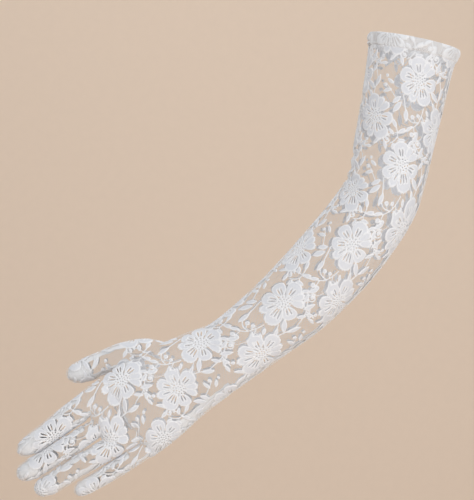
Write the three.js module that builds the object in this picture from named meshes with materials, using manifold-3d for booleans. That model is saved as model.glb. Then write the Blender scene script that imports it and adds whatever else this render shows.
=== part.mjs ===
// Elbow-length stretch lace glove for a left hand, in the shape that it has on a bent arm.
// Millimetres, +Z up. The view along +Y shows the back of the hand, as worn in front of the body.
// The origin is the middle of the arm opening, at the top edge of the hem.
import * as THREE from "three";
import { mergeVertices } from "three/addons/utils/BufferGeometryUtils.js";
import Module from "manifold-3d";

const wasm = await Module();
wasm.setup();

// Driving dimensions
const LACE_WALL = 1.2; // thickness of the lace panels
const SEAM_GAP = 0.3; // the panels stop this far short of each other and of the pieces beside them
const HEM_DEPTH = 11; // height of the turned hem at the arm opening
const HEM_WALL = 2.4; // lace turned over the elastic, three layers in all
const HEM_GATHERS = 20; // small gathers that the elastic makes round the opening
const HEM_GATHER_HEIGHT = 0.5; // how far each gather stands out
const HEM_BULGE = 0.4; // the folded edge is fullest halfway down
const ALLOWANCE_WIDTH = 4; // seam allowance left inside along each seam
const FINGER_ALLOWANCE_WIDTH = 3;
const ALLOWANCE_WALL = 0.8; // two folded edges of lace, pressed flat
const INNER_SEAM_END = 300; // where the inner seam of the arm turns out along the thumb
const OUTER_SEAM_END = 375; // where the outer seam of the arm turns out along the little finger
const ARM_SIDES = 20; // corners of an arm section
const FINGER_SIDES = 10; // corners of a finger section
const ARM_STEP = 25; // distance between arm sections
const FINGER_STEP = 14; // distance between finger sections
const END_MARGIN = 2; // sections come no closer than this to the end of a piece
const CREASE_MARGIN = 3; // nor than this to the sections that shape a crease
const HOLLOW_SETBACK = 0.6; // a finger's hollow starts this far inside the start of its wall
const TIP_SECTIONS = 3; // sections that round off a fingertip
const TIP_ANGLES = [-60, -30, 0, 30, 60]; // corners of the seam allowance round a fingertip
const STATIONS_PER_ROW = 16; // steps in which a middle line is walked between two rows of its table
const SAME_POINT = 1e-4; // points closer than this are one
const SHORTEST_EDGE = 0.05; // cuts leave no shorter edge than this

// Lace repeat, measured on the flat lace
const REPEAT_DOWN = 75; // from one flower to the next down the glove
const REPEAT_ACROSS = 62; // from one line of flowers to the next across it
const COLUMNS_BESIDE = 1; // repeats on each side of the middle one that reach a panel
const GAP_CORNERS = 5;
const GAP_THICKNESS = 12; // length of the cutter that goes through the lace
const PANEL_MARGIN = 9; // no gap comes closer than this to a seam

// A table of named columns: one object for each row of numbers.
function rows(columns, numbers) {
  return numbers.map((row) => Object.fromEntries(columns.map((name, i) => [name, row[i]])));
}

// Sections of the arm and palm from the opening to the knuckles:
// middle of the section, width across the seams, depth from back to palm.
const ARM_COLUMNS = ["x", "z", "y", "width", "depth"];
const ARM = rows(ARM_COLUMNS, [
  [0, 0, 0, 77, 78],
  [-4.3, -20.6, 0, 72, 75],
  [-9.7, -49, 0, 69.2, 73],
  [-16.7, -82.7, 0, 66.7, 72],
  [-22.1, -108.8, 0, 65.3, 72],
  [-29.2, -131.5, 0, 65.5, 73],
  [-42.8, -153.5, 0, 66.8, 73],
  [-64.9, -181, 0, 68.1, 69],
  [-97.1, -214.6, 0, 65.3, 62],
  [-126.9, -239.6, 0, 59.8, 52],
  [-154.9, -260.7, 0, 57.5, 43],
  [-173.3, -271.2, 0, 62.5, 38],
  [-197.5, -285, 0, 70, 34],
  [-223.9, -302.7, 0, 78.5, 31],
  [-244.8, -317.6, 0, 79.4, 26.5],
]);

// Block of the palm past the knuckles that carries the index, middle and ring finger.
const KNUCKLES = rows(ARM_COLUMNS, [
  [-226.8, -302, 0, 60, 26],
  [-249.3, -313.5, 0, 61, 23],
  [-268.1, -323.6, 0, 60, 19],
]);

// Sections of each finger from inside the palm to the tip. The last row is the end of the tip.
const FINGERS = {
  thumb: rows(ARM_COLUMNS, [
    [-190.8, -273, 2, 24, 20],
    [-222.2, -264.6, 7, 28.5, 25],
    [-243.2, -264.2, 12, 22.8, 21],
    [-260.9, -270.1, 15, 20.2, 19],
    [-279.3, -277.6, 16, 18.6, 17],
    [-293.3, -281.6, 16, 0, 0],
  ]),
  index_finger: rows(ARM_COLUMNS, [
    [-250.2, -286.2, 0, 18, 14],
    [-263.3, -295.9, 0, 22, 19],
    [-280.5, -308.7, 1, 21.2, 18.5],
    [-294.8, -319, 2, 20.2, 18],
    [-308.8, -329.7, 3, 18.7, 17],
    [-321.3, -338.4, 4, 16.8, 15.5],
    [-333.8, -345.7, 4.5, 0, 0],
  ]),
  middle_finger: rows(ARM_COLUMNS, [
    [-258, -318.6, 0, 15, 16],
    [-282.7, -334.5, 1, 17.6, 18.5],
    [-298.1, -344.6, 2, 17.6, 18],
    [-313.8, -354.6, 3.5, 17.4, 17],
    [-323.8, -360.4, 4.5, 16.4, 15.5],
    [-334.6, -365.2, 5, 0, 0],
  ]),
  ring_finger: rows(ARM_COLUMNS, [
    [-233.2, -329.3, 0, 14, 15],
    [-248.8, -338, 0, 18.4, 18],
    [-267.6, -348.2, 1, 18.4, 17.5],
    [-285.2, -358.4, 2.5, 18.2, 17],
    [-302, -369.6, 4, 17.2, 16],
    [-310.4, -374.2, 5, 15.8, 14.5],
    [-319.4, -378, 5.5, 0, 0],
  ]),
  little_finger: rows(ARM_COLUMNS, [
    [-222.7, -341, 0, 13, 11],
    [-242.8, -353.9, 1, 14.6, 15.5],
    [-259.6, -364.4, 2.5, 14.2, 15],
    [-270.3, -370.6, 4, 13.8, 14.5],
    [-277.6, -374.8, 5, 12.8, 13],
    [-285.8, -379.6, 5.5, 0, 0],
  ]),
};

// Length of the seam allowance from each fingertip back to the fork between the fingers
const FINGER_SEAM_LENGTHS = {
  thumb: 66,
  index_finger: 70,
  middle_finger: 70,
  ring_finger: 66,
  little_finger: 56,
};

// Creases that cross the inner bend of the elbow: place down the arm, depth, width
const CREASES = rows(["along", "depth", "width"], [
  [104, 1.6, 7],
  [116, 2.2, 8],
  [129, 1.8, 8],
]);

// Flowers down the middle of the back, one to a repeat: place on the cloth of the arm.
// The cloth runs askew towards the hand.
const FLOWER_LINE = rows(["along", "across"], [
  [32.2, 9],
  [104, 8.6],
  [180.6, 4.1],
  [256.6, -4.6],
  [334.2, -20],
  [403.4, -29.3],
]);

// Open net between the motifs of a repeat, from the middle of its first flower: place, size and
// turn of a gap
const GAPS = rows(["down", "across", "length", "width", "turn"], [
  [25, -1, 11, 8, 10],
  [69, -24, 13, 9, 10],
  [18, 27, 10, 8, 0],
  [42, 10, 10, 8, 0],
]);

// Gaps along a finger: distance back from the tip, distance from the middle of its panel, size
const FINGER_GAPS = rows(["back", "across", "length", "width"], [
  [21, 2, 8, 5],
  [39, -2, 8, 5],
]);

// Curve through the values of a table's column: f is the row number, with whole rows exact.
function valueAt(table, column, f) {
  const last = table.length - 1;
  const row = Math.min(Math.max(Math.floor(f), 0), last - 1);
  const share = f - row;
  const at = (i) => table[Math.min(Math.max(i, 0), last)][column];
  const [before, from, to, after] = [at(row - 1), at(row), at(row + 1), at(row + 2)];
  if (share < 0 || share > 1) {
    return from + (to - from) * share;
  }
  const slopeFrom = (to - before) / 2;
  const slopeTo = (after - from) / 2;
  const square = share * share;
  const cube = square * share;
  return (
    (2 * cube - 3 * square + 1) * from +
    (cube - 2 * square + share) * slopeFrom +
    (3 * square - 2 * cube) * to +
    (cube - square) * slopeTo
  );
}

// Middle line of a limb as a list of stations with the distance along it.
function walk(table) {
  const stations = [];
  let along = 0;
  for (let i = 0; i <= (table.length - 1) * STATIONS_PER_ROW; i += 1) {
    const f = i / STATIONS_PER_ROW;
    const x = valueAt(table, "x", f);
    const z = valueAt(table, "z", f);
    const previous = stations[i - 1];
    along += previous ? Math.hypot(x - previous.x, z - previous.z) : 0;
    stations.push({ f, x, z, along });
  }
  return stations;
}

// A limb: its table, its stations and its length. Its last row is a tip where the width ends at 0.
function limb(table, { sides, step, creased = false }) {
  const stations = walk(table);
  const length = stations.at(-1).along;
  const tipped = table.at(-1).width === 0;
  const tipStart = tipped ? stations.find((s) => s.f >= table.length - 2).along : length;
  return { table, stations, length, tipped, tipStart, sides, step, creased };
}

// Row number of a limb at a distance along it, carried on in a straight line past both ends.
function rowAt(of, along) {
  const list = of.stations;
  let i = list.findIndex((s) => s.along >= along);
  i = i < 0 ? list.length - 1 : Math.max(i, 1);
  const [a, b] = [list[i - 1], list[i]];
  return a.f + ((b.f - a.f) * (along - a.along)) / (b.along - a.along);
}

// Section of a limb: middle, direction along, direction across to the outer seam, half sizes.
function sectionAt(of, along) {
  const f = rowAt(of, along);
  const small = 0.02;
  const point = (g) =>
    new THREE.Vector3(valueAt(of.table, "x", g), valueAt(of.table, "y", g), valueAt(of.table, "z", g));
  const forward = point(f + small).sub(point(f - small));
  forward.y = 0;
  forward.normalize();
  const outward = new THREE.Vector3(-forward.z, 0, forward.x);
  const sized = of.tipped ? Math.min(f, of.table.length - 2) : f;
  return {
    middle: point(f),
    forward,
    outward,
    halfWidth: valueAt(of.table, "width", sized) / 2,
    halfDepth: valueAt(of.table, "depth", sized) / 2,
  };
}

// How far the creases of the elbow push the cloth in, strongest at the inner seam.
function creaseDepth(along, angle) {
  const inner = Math.max(0, -Math.cos(angle)) ** 3;
  return CREASES.reduce((sum, crease) => {
    const offset = (along - crease.along) / (crease.width / 2);
    return sum + crease.depth * inner * Math.exp(-offset * offset);
  }, 0);
}

// Distances of the sections along a limb. They lie at the same places whatever the start and end,
// so that surfaces inside one another stay the same distance apart.
function stops(of, start, end) {
  const inside = (along) => along > start + END_MARGIN && along < end - END_MARGIN;
  const even = Array.from({ length: Math.ceil(of.length / of.step) }, (_, i) => i * of.step);
  const bends = of.creased ? CREASES.flatMap(({ along, width }) => [along, along + width / 2]) : [];
  const clear = even.filter((along) => bends.every((bend) => Math.abs(bend - along) > CREASE_MARGIN));
  return [start, ...[...clear, ...bends].filter(inside).sort((a, b) => a - b), end];
}

function addTriangle(positions, corners) {
  positions.push(...corners.flatMap((corner) => corner.toArray()));
}

// Triangles of the surface that runs through a list of rings of points.
function sheetBetween(rings) {
  const sides = rings[0].length;
  const positions = [];
  for (let r = 0; r < rings.length - 1; r += 1) {
    for (let i = 0; i < sides; i += 1) {
      const j = (i + 1) % sides;
      addTriangle(positions, [rings[r][i], rings[r + 1][i], rings[r + 1][j]]);
      addTriangle(positions, [rings[r][i], rings[r + 1][j], rings[r][j]]);
    }
  }
  return positions;
}

// Closed surface through rings of points, with a flat fan on each end, as a solid.
function solidFromRings(rings) {
  const sides = rings[0].length;
  const positions = sheetBetween(rings);
  const middleOf = (ring) =>
    ring.reduce((sum, p) => sum.add(p), new THREE.Vector3()).divideScalar(ring.length);
  const [first, last] = [rings[0], rings.at(-1)];
  const [firstMiddle, lastMiddle] = [middleOf(first), middleOf(last)];
  for (let i = 0; i < sides; i += 1) {
    const j = (i + 1) % sides;
    addTriangle(positions, [firstMiddle, first[i], first[j]]);
    addTriangle(positions, [lastMiddle, last[j], last[i]]);
  }
  return solidFromPositions(positions);
}

// A solid from bare triangles, with faces turned out whichever way round they came.
function solidFromPositions(positions) {
  const loose = new THREE.BufferGeometry();
  loose.setAttribute("position", new THREE.Float32BufferAttribute(positions, 3));
  const merged = mergeVertices(loose, SAME_POINT);
  const triVerts = wholeTriangles(merged.index.array);
  const points = merged.attributes.position;
  if (signedVolume(points, triVerts) < 0) {
    triVerts.reverse();
  }
  return new wasm.Manifold(
    new wasm.Mesh({ numProp: 3, vertProperties: points.array, triVerts, tolerance: SHORTEST_EDGE }),
  );
}

// The triangles that have three different corners, without those that an end point has closed up.
function wholeTriangles(index) {
  const kept = [];
  for (let i = 0; i < index.length; i += 3) {
    const [a, b, c] = index.slice(i, i + 3);
    if (a !== b && b !== c && c !== a) {
      kept.push(a, b, c);
    }
  }
  return new Uint32Array(kept);
}

// Six times the volume that the triangles enclose, below 0 when they face inward.
function signedVolume(points, triVerts) {
  const [a, b, c] = [new THREE.Vector3(), new THREE.Vector3(), new THREE.Vector3()];
  let sum = 0;
  for (let i = 0; i < triVerts.length; i += 3) {
    a.fromBufferAttribute(points, triVerts[i]);
    b.fromBufferAttribute(points, triVerts[i + 1]);
    c.fromBufferAttribute(points, triVerts[i + 2]);
    sum += a.dot(b.cross(c));
  }
  return sum;
}

// Half an ellipse of a section, back (side -1) or palm (side 1), that stops at the seam gap.
function halfRing(of, along, { side, inset, scale = 1 }) {
  const { middle, outward, halfWidth, halfDepth } = sectionAt(of, along);
  return Array.from({ length: of.sides / 2 + 1 }, (_, i) => {
    const angle = (2 * Math.PI * i) / of.sides;
    const crease = of.creased ? creaseDepth(along, angle) : 0;
    const rise = (halfDepth - inset) * scale * Math.sin(angle) + SEAM_GAP / 2;
    return middle
      .clone()
      .addScaledVector(outward, (halfWidth - inset - crease) * scale * Math.cos(angle))
      .setY(middle.y + side * rise);
  });
}

// Places of the rings of a limb as pairs, on its outside and on the inside of its wall.
// Fingertips are rounded off, and the last ring closes the end.
function ringPlaces(of, start) {
  const straight = of.tipped ? of.tipStart : of.length;
  const places = stops(of, start, straight).map((along) => ({ outside: along, inside: along, scale: 1 }));
  if (of.tipped) {
    const reach = of.length - of.tipStart;
    for (let i = 1; i < TIP_SECTIONS; i += 1) {
      const share = Math.sin((Math.PI / 2) * (i / TIP_SECTIONS));
      places.push({
        outside: of.tipStart + reach * share,
        inside: of.tipStart + (reach - LACE_WALL) * share,
        scale: Math.sqrt(1 - share * share),
      });
    }
  } else {
    places.at(-1).inside -= LACE_WALL;
  }
  return [...places, { outside: of.length, inside: of.length - LACE_WALL, scale: 0 }];
}

// The back or palm half of a limb filled in, larger than the limb all round by grown.
function halfFilled(of, side, grown, start = 0) {
  const rings = ringPlaces(of, start).map(({ outside, scale }) =>
    halfRing(of, outside + (1 - scale) * grown, { side, inset: -grown, scale }),
  );
  return solidFromRings(rings);
}

// The hollow of a limb, right round.
function hollowSolid(of) {
  const rings = ringPlaces(of, of === arm ? 0 : HOLLOW_SETBACK).map(({ inside, scale }) => [
    ...halfRing(of, inside, { side: 1, inset: LACE_WALL, scale }),
    ...halfRing(of, inside, { side: -1, inset: LACE_WALL, scale }).reverse(),
  ]);
  return solidFromRings(rings);
}

// A mesh node from a solid.
function node(name, solid, material) {
  const mesh = solid.getMesh();
  const geometry = new THREE.BufferGeometry();
  geometry.setAttribute("position", new THREE.Float32BufferAttribute(mesh.vertProperties, 3));
  geometry.setIndex(new THREE.BufferAttribute(mesh.triVerts, 1));
  const piece = new THREE.Mesh(geometry, material);
  piece.name = name;
  return piece;
}

function join(solids) {
  return solids.reduce((whole, solid) => whole.add(solid));
}

const arm = limb(ARM, { sides: ARM_SIDES, step: ARM_STEP, creased: true });
const knuckles = limb(KNUCKLES, { sides: ARM_SIDES, step: ARM_STEP });
const fingers = Object.entries(FINGERS).map(([name, table]) => ({
  name,
  ...limb(table, { sides: FINGER_SIDES, step: FINGER_STEP }),
}));

const limbs = [arm, knuckles, ...fingers];
const hollow = join(limbs.map(hollowSolid));

// One panel of the glove, back (side -1) or palm (side 1), before the lace is pierced.
function plainPanel(side) {
  const filled = limbs.map((of) => halfFilled(of, side, 0, of === arm ? HEM_DEPTH + SEAM_GAP : 0));
  return join(filled).subtract(hollow);
}

// What the back panel takes up where a finger or the thumb leaves the palm, with the seam gap round it.
const backOfFingers = join(fingers.map((finger) => halfFilled(finger, -1, SEAM_GAP)));

// Angle round an ellipse at an arc length from the middle of the front or the back.
function angleAtArc(halfWidth, halfDepth, arc) {
  const steps = 60;
  const stepAngle = Math.PI / 2 / steps;
  let walked = 0;
  let angle = 0;
  while (walked < Math.abs(arc) && angle < Math.PI / 2) {
    const mid = angle + stepAngle / 2;
    walked += Math.hypot(halfWidth * Math.cos(mid), halfDepth * Math.sin(mid)) * stepAngle;
    angle += stepAngle;
  }
  return Math.sign(arc) * angle;
}

// Arc length of half a panel, from its middle to a seam: the first terms of a quarter ellipse's length.
function halfPanel(halfWidth, halfDepth) {
  const sum = halfWidth + halfDepth;
  const flatness = (halfWidth - halfDepth) / sum;
  return (Math.PI / 4) * sum * (1 + flatness ** 2 / 4);
}

// A cutter that goes straight through the lace. side is -1 on the back, 1 on the palm.
function gapCutter(of, { along, across, length, width, turn }, side) {
  const { middle, forward, outward, halfWidth, halfDepth } = sectionAt(of, along);
  const angle = angleAtArc(halfWidth, halfDepth, across);
  const place = middle
    .clone()
    .addScaledVector(outward, halfWidth * Math.sin(angle))
    .setY(middle.y + side * halfDepth * Math.cos(angle));
  const normal = outward
    .clone()
    .multiplyScalar(halfDepth * Math.sin(angle))
    .setY(side * halfWidth * Math.cos(angle))
    .normalize();
  const sideways = new THREE.Vector3().crossVectors(normal, forward).normalize();
  const lengthways = new THREE.Vector3().crossVectors(sideways, normal);
  const prism = new THREE.CylinderGeometry(1, 1, GAP_THICKNESS, GAP_CORNERS).toNonIndexed();
  prism.rotateY(THREE.MathUtils.degToRad(turn));
  prism.scale(width / 2, 1, length / 2);
  prism.applyMatrix4(new THREE.Matrix4().makeBasis(sideways, normal, lengthways).setPosition(place));
  return solidFromPositions(Array.from(prism.attributes.position.array));
}

// Place on the cloth of the arm for a place on the lace's repeat. Both panels are cut at once from
// lace that is folded double, so their flowers lie one behind the other.
function onCloth(down, across) {
  const row = down / REPEAT_DOWN;
  return {
    along: valueAt(FLOWER_LINE, "along", row),
    across: across + valueAt(FLOWER_LINE, "across", row),
  };
}

// Places of the gaps of one panel of the arm and palm, clear of its edges and of the thumb.
function armGaps(side) {
  const places = [];
  const repeats = Math.ceil(arm.length / REPEAT_DOWN);
  for (let column = -COLUMNS_BESIDE; column <= COLUMNS_BESIDE; column += 1) {
    for (let repeat = -1; repeat <= repeats; repeat += 1) {
      GAPS.forEach((gap) => {
        const down = repeat * REPEAT_DOWN + gap.down;
        const across = column * REPEAT_ACROSS + gap.across;
        places.push({ ...gap, ...onCloth(down, across) });
      });
    }
  }
  return places.filter((gap) => gapFits(gap, side));
}

// Whether a gap lies clear of the hem, the knuckles, both seams and, on the palm, of the thumb.
function gapFits({ along, across, length }, side) {
  if (along < HEM_DEPTH + length || along > arm.length - length) {
    return false;
  }
  const { middle, outward, halfWidth, halfDepth } = sectionAt(arm, along);
  if (Math.abs(across) > halfPanel(halfWidth, halfDepth) - PANEL_MARGIN) {
    return false;
  }
  const sideways = halfWidth * Math.sin(angleAtArc(halfWidth, halfDepth, across));
  const place = middle.clone().addScaledVector(outward, sideways);
  const nearThumb = fingers[0].stations.some(
    (s) => Math.hypot(s.x - place.x, s.z - place.z) < fingers[0].table[1].width / 2 + length,
  );
  return !(nearThumb && side > 0);
}

// Gaps of one panel of a finger.
function fingerGaps(finger) {
  return FINGER_GAPS.map((gap) => ({ ...gap, along: finger.length - gap.back, turn: 0 }));
}

// A panel with its gaps cut through.
function piercedPanel(solid, side) {
  const cutters = [
    ...armGaps(side).map((gap) => gapCutter(arm, gap, side)),
    ...fingers.flatMap((finger) => fingerGaps(finger).map((gap) => gapCutter(finger, gap, side))),
  ];
  return cutters.reduce((left, cutter) => left.subtract(cutter), solid);
}

// The largest body of a solid, without the crumbs that cuts close together leave.
function withoutCrumbs(solid) {
  const bodies = solid.decompose().sort((a, b) => b.volume() - a.volume());
  return bodies[0];
}

// Turned hem: a gathered ring that stands a little proud of the lace below it.
function hemBand() {
  const sides = 2 * HEM_GATHERS;
  const proud = (HEM_WALL - LACE_WALL) / 2;
  const profile = rows(["along", "grown"], [
    [0, proud],
    [HEM_DEPTH / 2, proud + HEM_BULGE],
    [HEM_DEPTH, proud],
    [HEM_DEPTH, proud - HEM_WALL],
    [0, proud - HEM_WALL],
  ]);
  const around = Array.from({ length: sides }, (_, i) => {
    const angle = (2 * Math.PI * i) / sides;
    const gather = (HEM_GATHER_HEIGHT / 2) * (i % 2 === 0 ? 1 : -1);
    return profile.map(({ along, grown }) => {
      const { middle, outward, halfWidth, halfDepth } = sectionAt(arm, along);
      return middle
        .clone()
        .addScaledVector(outward, (halfWidth + grown + gather) * Math.cos(angle))
        .setY((halfDepth + grown + gather) * Math.sin(angle));
    });
  });
  return solidFromPositions(sheetBetween([...around, around[0]]));
}

// How far the first facet beside a seam has turned in at a height above or below the seam.
function facetTurn(of, { halfWidth, halfDepth }, rise) {
  const angle = (2 * Math.PI) / of.sides;
  return (halfWidth * (1 - Math.cos(angle)) * rise) / (halfDepth * Math.sin(angle));
}

// Strip of seam allowance inside one seam of the arm. side is -1 on the inner bend, 1 on the outer.
function armAllowance(side, start, end) {
  const rings = stops(arm, start, end).map((along) => {
    const section = sectionAt(arm, along);
    const { middle, outward, halfWidth } = section;
    const crease = side < 0 ? creaseDepth(along, Math.PI) : 0;
    const turn = facetTurn(arm, section, ALLOWANCE_WIDTH / 2);
    const outer = halfWidth - crease - LACE_WALL - SEAM_GAP - turn;
    const corner = (distance, y) => middle.clone().addScaledVector(outward, side * distance).setY(y);
    return [
      corner(outer, ALLOWANCE_WIDTH / 2),
      corner(outer, -ALLOWANCE_WIDTH / 2),
      corner(outer - ALLOWANCE_WALL, -ALLOWANCE_WIDTH / 2),
      corner(outer - ALLOWANCE_WALL, ALLOWANCE_WIDTH / 2),
    ];
  });
  return solidFromRings(rings);
}

// Strip of seam allowance inside the seam of a finger: up one side, round the tip, down the other.
function fingerAllowance(finger, start) {
  const turn = facetTurn(finger, sectionAt(finger, finger.tipStart), FINGER_ALLOWANCE_WIDTH / 2);
  const inset = LACE_WALL + SEAM_GAP + turn;
  const stations = stops(finger, start, finger.tipStart);
  const corners = (place, outside) => {
    const corner = (distance, rise) =>
      place.clone().addScaledVector(outside, distance).add(new THREE.Vector3(0, rise, 0));
    const half = FINGER_ALLOWANCE_WIDTH / 2;
    return [corner(0, half), corner(0, -half), corner(-ALLOWANCE_WALL, -half), corner(-ALLOWANCE_WALL, half)];
  };
  const along = (side) =>
    stations.map((distance) => {
      const { middle, outward, halfWidth } = sectionAt(finger, distance);
      const outside = outward.clone().multiplyScalar(side);
      return corners(middle.clone().addScaledVector(outside, halfWidth - inset), outside);
    });
  const tip = sectionAt(finger, finger.tipStart);
  const end = sectionAt(finger, finger.length).middle;
  const reach = finger.length - finger.tipStart - inset;
  const round = TIP_ANGLES.map((degrees) => {
    const angle = THREE.MathUtils.degToRad(degrees);
    const outside = tip.outward.clone().multiplyScalar(Math.sin(angle));
    outside.addScaledVector(tip.forward, Math.cos(angle));
    const place = tip.middle.clone();
    place.addScaledVector(tip.outward, (tip.halfWidth - inset) * Math.sin(angle));
    place.addScaledVector(tip.forward, reach * Math.cos(angle));
    place.y += (end.y - tip.middle.y) * Math.cos(angle);
    return corners(place, outside);
  });
  return solidFromRings([...along(-1), ...round, ...along(1).reverse()]);
}

const backPanel = withoutCrumbs(piercedPanel(plainPanel(-1), -1));
const palmPanel = withoutCrumbs(piercedPanel(plainPanel(1).subtract(backOfFingers), 1));

const lace = new THREE.MeshStandardMaterial({ color: 0xf1f3f6, roughness: 0.8, metalness: 0 });
const hemLace = new THREE.MeshStandardMaterial({ color: 0xf6f7f9, roughness: 0.85, metalness: 0 });
const allowanceLace = new THREE.MeshStandardMaterial({ color: 0xeceff3, roughness: 0.85, metalness: 0 });

const glove = new THREE.Group();
glove.add(node("hem_band", hemBand(), hemLace));
glove.add(node("back_panel", backPanel, lace));
glove.add(node("palm_panel", palmPanel, lace));
glove.add(node("inner_arm_seam", armAllowance(-1, ARM_STEP, INNER_SEAM_END), allowanceLace));
glove.add(node("outer_arm_seam", armAllowance(1, ARM_STEP, OUTER_SEAM_END), allowanceLace));
fingers.forEach((finger) => {
  const start = finger.length - FINGER_SEAM_LENGTHS[finger.name];
  glove.add(node(finger.name + "_seam", fingerAllowance(finger, start), allowanceLace));
});

export default glove;
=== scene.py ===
# %% [markdown]
# # Lace glove
# An elbow-length evening glove of white stretch lace, for a left hand, seen from its back.
# The real glove is two flat panels of lace, one for the back and one for the palm, sewn together
# along the outline of arm, thumb and fingers, with an elastic hem turned in at the opening.
# This lesson first maps flat cloth onto the shape of the worn glove. It then charts one repeat
# of the lace, lays it over every panel, and adds hem, seams, threads, light and camera.

import bpy
import numpy as np
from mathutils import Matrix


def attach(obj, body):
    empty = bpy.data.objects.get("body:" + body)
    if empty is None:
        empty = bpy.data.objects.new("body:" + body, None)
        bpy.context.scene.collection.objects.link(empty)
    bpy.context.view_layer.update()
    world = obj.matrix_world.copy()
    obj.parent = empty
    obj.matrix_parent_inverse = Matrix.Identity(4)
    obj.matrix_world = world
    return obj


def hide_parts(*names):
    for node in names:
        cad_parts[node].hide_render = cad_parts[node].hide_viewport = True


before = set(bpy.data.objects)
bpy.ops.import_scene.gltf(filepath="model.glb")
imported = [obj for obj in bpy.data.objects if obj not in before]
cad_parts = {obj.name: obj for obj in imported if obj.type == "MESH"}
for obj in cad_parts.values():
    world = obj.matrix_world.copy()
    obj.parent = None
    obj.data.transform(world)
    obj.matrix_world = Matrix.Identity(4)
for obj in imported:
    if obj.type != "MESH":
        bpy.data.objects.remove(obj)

for name in ("Cube", "Light", "Camera"):
    if name in bpy.data.objects:
        bpy.data.objects.remove(bpy.data.objects[name])
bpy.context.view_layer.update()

# %% [markdown]
# ## Sizes
# All tables are in millimetres, as a maker would measure the glove, and are turned into metres
# where they become coordinates. A limb is a row of oval sections along a bent middle line:
# x is across the picture, z is up, y is away from the viewer. Width lies between the seams and
# depth runs from the back of the hand to the palm. The last row of a finger is its very tip.

# %% Tables of the limbs
MM = 0.001
COLUMNS = ("x", "z", "y", "width", "depth")
SECTIONS = {
    "arm": [
        (0, 0, 0, 77, 78), (-4.3, -20.6, 0, 72, 75), (-9.7, -49, 0, 69.2, 73),
        (-16.7, -82.7, 0, 66.7, 72), (-22.1, -108.8, 0, 65.3, 72), (-29.2, -131.5, 0, 65.5, 73),
        (-42.8, -153.5, 0, 66.8, 73), (-64.9, -181, 0, 68.1, 69), (-97.1, -214.6, 0, 65.3, 62),
        (-126.9, -239.6, 0, 59.8, 52), (-154.9, -260.7, 0, 57.5, 43), (-173.3, -271.2, 0, 62.5, 38),
        (-197.5, -285, 0, 70, 34), (-223.9, -302.7, 0, 78.5, 31), (-244.8, -317.6, 0, 79.4, 26.5),
    ],
    "knuckles": [(-226.8, -302, 0, 60, 26), (-249.3, -313.5, 0, 61, 23), (-268.1, -323.6, 0, 60, 19)],
    "thumb": [
        (-190.8, -273, 2, 24, 20), (-222.2, -264.6, 7, 28.5, 25), (-243.2, -264.2, 12, 22.8, 21),
        (-260.9, -270.1, 15, 20.2, 19), (-279.3, -277.6, 16, 18.6, 17), (-293.3, -281.6, 16, 0, 0),
    ],
    "index_finger": [
        (-250.2, -286.2, 0, 18, 14), (-263.3, -295.9, 0, 22, 19), (-280.5, -308.7, 1, 21.2, 18.5),
        (-294.8, -319, 2, 20.2, 18), (-308.8, -329.7, 3, 18.7, 17), (-321.3, -338.4, 4, 16.8, 15.5),
        (-333.8, -345.7, 4.5, 0, 0),
    ],
    "middle_finger": [
        (-258, -318.6, 0, 15, 16), (-282.7, -334.5, 1, 17.6, 18.5), (-298.1, -344.6, 2, 17.6, 18),
        (-313.8, -354.6, 3.5, 17.4, 17), (-323.8, -360.4, 4.5, 16.4, 15.5), (-334.6, -365.2, 5, 0, 0),
    ],
    "ring_finger": [
        (-233.2, -329.3, 0, 14, 15), (-248.8, -338, 0, 18.4, 18), (-267.6, -348.2, 1, 18.4, 17.5),
        (-285.2, -358.4, 2.5, 18.2, 17), (-302, -369.6, 4, 17.2, 16), (-310.4, -374.2, 5, 15.8, 14.5),
        (-319.4, -378, 5.5, 0, 0),
    ],
    "little_finger": [
        (-222.7, -341, 0, 13, 11), (-242.8, -353.9, 1, 14.6, 15.5), (-259.6, -364.4, 2.5, 14.2, 15),
        (-270.3, -370.6, 4, 13.8, 14.5), (-277.6, -374.8, 5, 12.8, 13), (-285.8, -379.6, 5.5, 0, 0),
    ],
}
FINGERS = ["thumb", "index_finger", "middle_finger", "ring_finger", "little_finger"]
SEAM_LENGTHS = {"thumb": 66, "index_finger": 70, "middle_finger": 70, "ring_finger": 66, "little_finger": 56}
CREASES = [(104, 1.6, 7), (116, 2.2, 8), (129, 1.8, 8)]  # along, depth, width, at the inner elbow
HEM_DEPTH = 11.0
print(len(SECTIONS), "limbs and", sum(len(rows) for rows in SECTIONS.values()), "sections")

# %% [markdown]
# ## From rows to a smooth limb
# Between the measured sections the cloth runs in a smooth curve. Each column is a curve through
# its rows, and the middle line is walked in short steps to find the distance along it.

# %% Curves through the tables
def value_at(column, f):
    """Cubic through the rows with slope (next - previous) / 2 at each row; straight past both ends."""
    last = len(column) - 1
    row = np.clip(np.floor(f).astype(int), 0, last - 1)
    share = f - row
    before, start, end, after = (column[np.clip(row + i, 0, last)] for i in (-1, 0, 1, 2))
    slope_start, slope_end = (end - before) / 2, (after - start) / 2
    square, cube = share**2, share**3
    curve = (2 * cube - 3 * square + 1) * start + (cube - 2 * square + share) * slope_start
    curve += (3 * square - 2 * cube) * end + (cube - square) * slope_end
    return np.where((share < 0) | (share > 1), start + (end - start) * share, curve)


def walked(line):
    """Distance from the first point of a line to each of its points."""
    return np.concatenate([[0], np.cumsum(np.linalg.norm(np.diff(line, axis=0), axis=1))])


STEPS_A_ROW = 16  # steps of the middle line from one row of a table to the next


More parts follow.
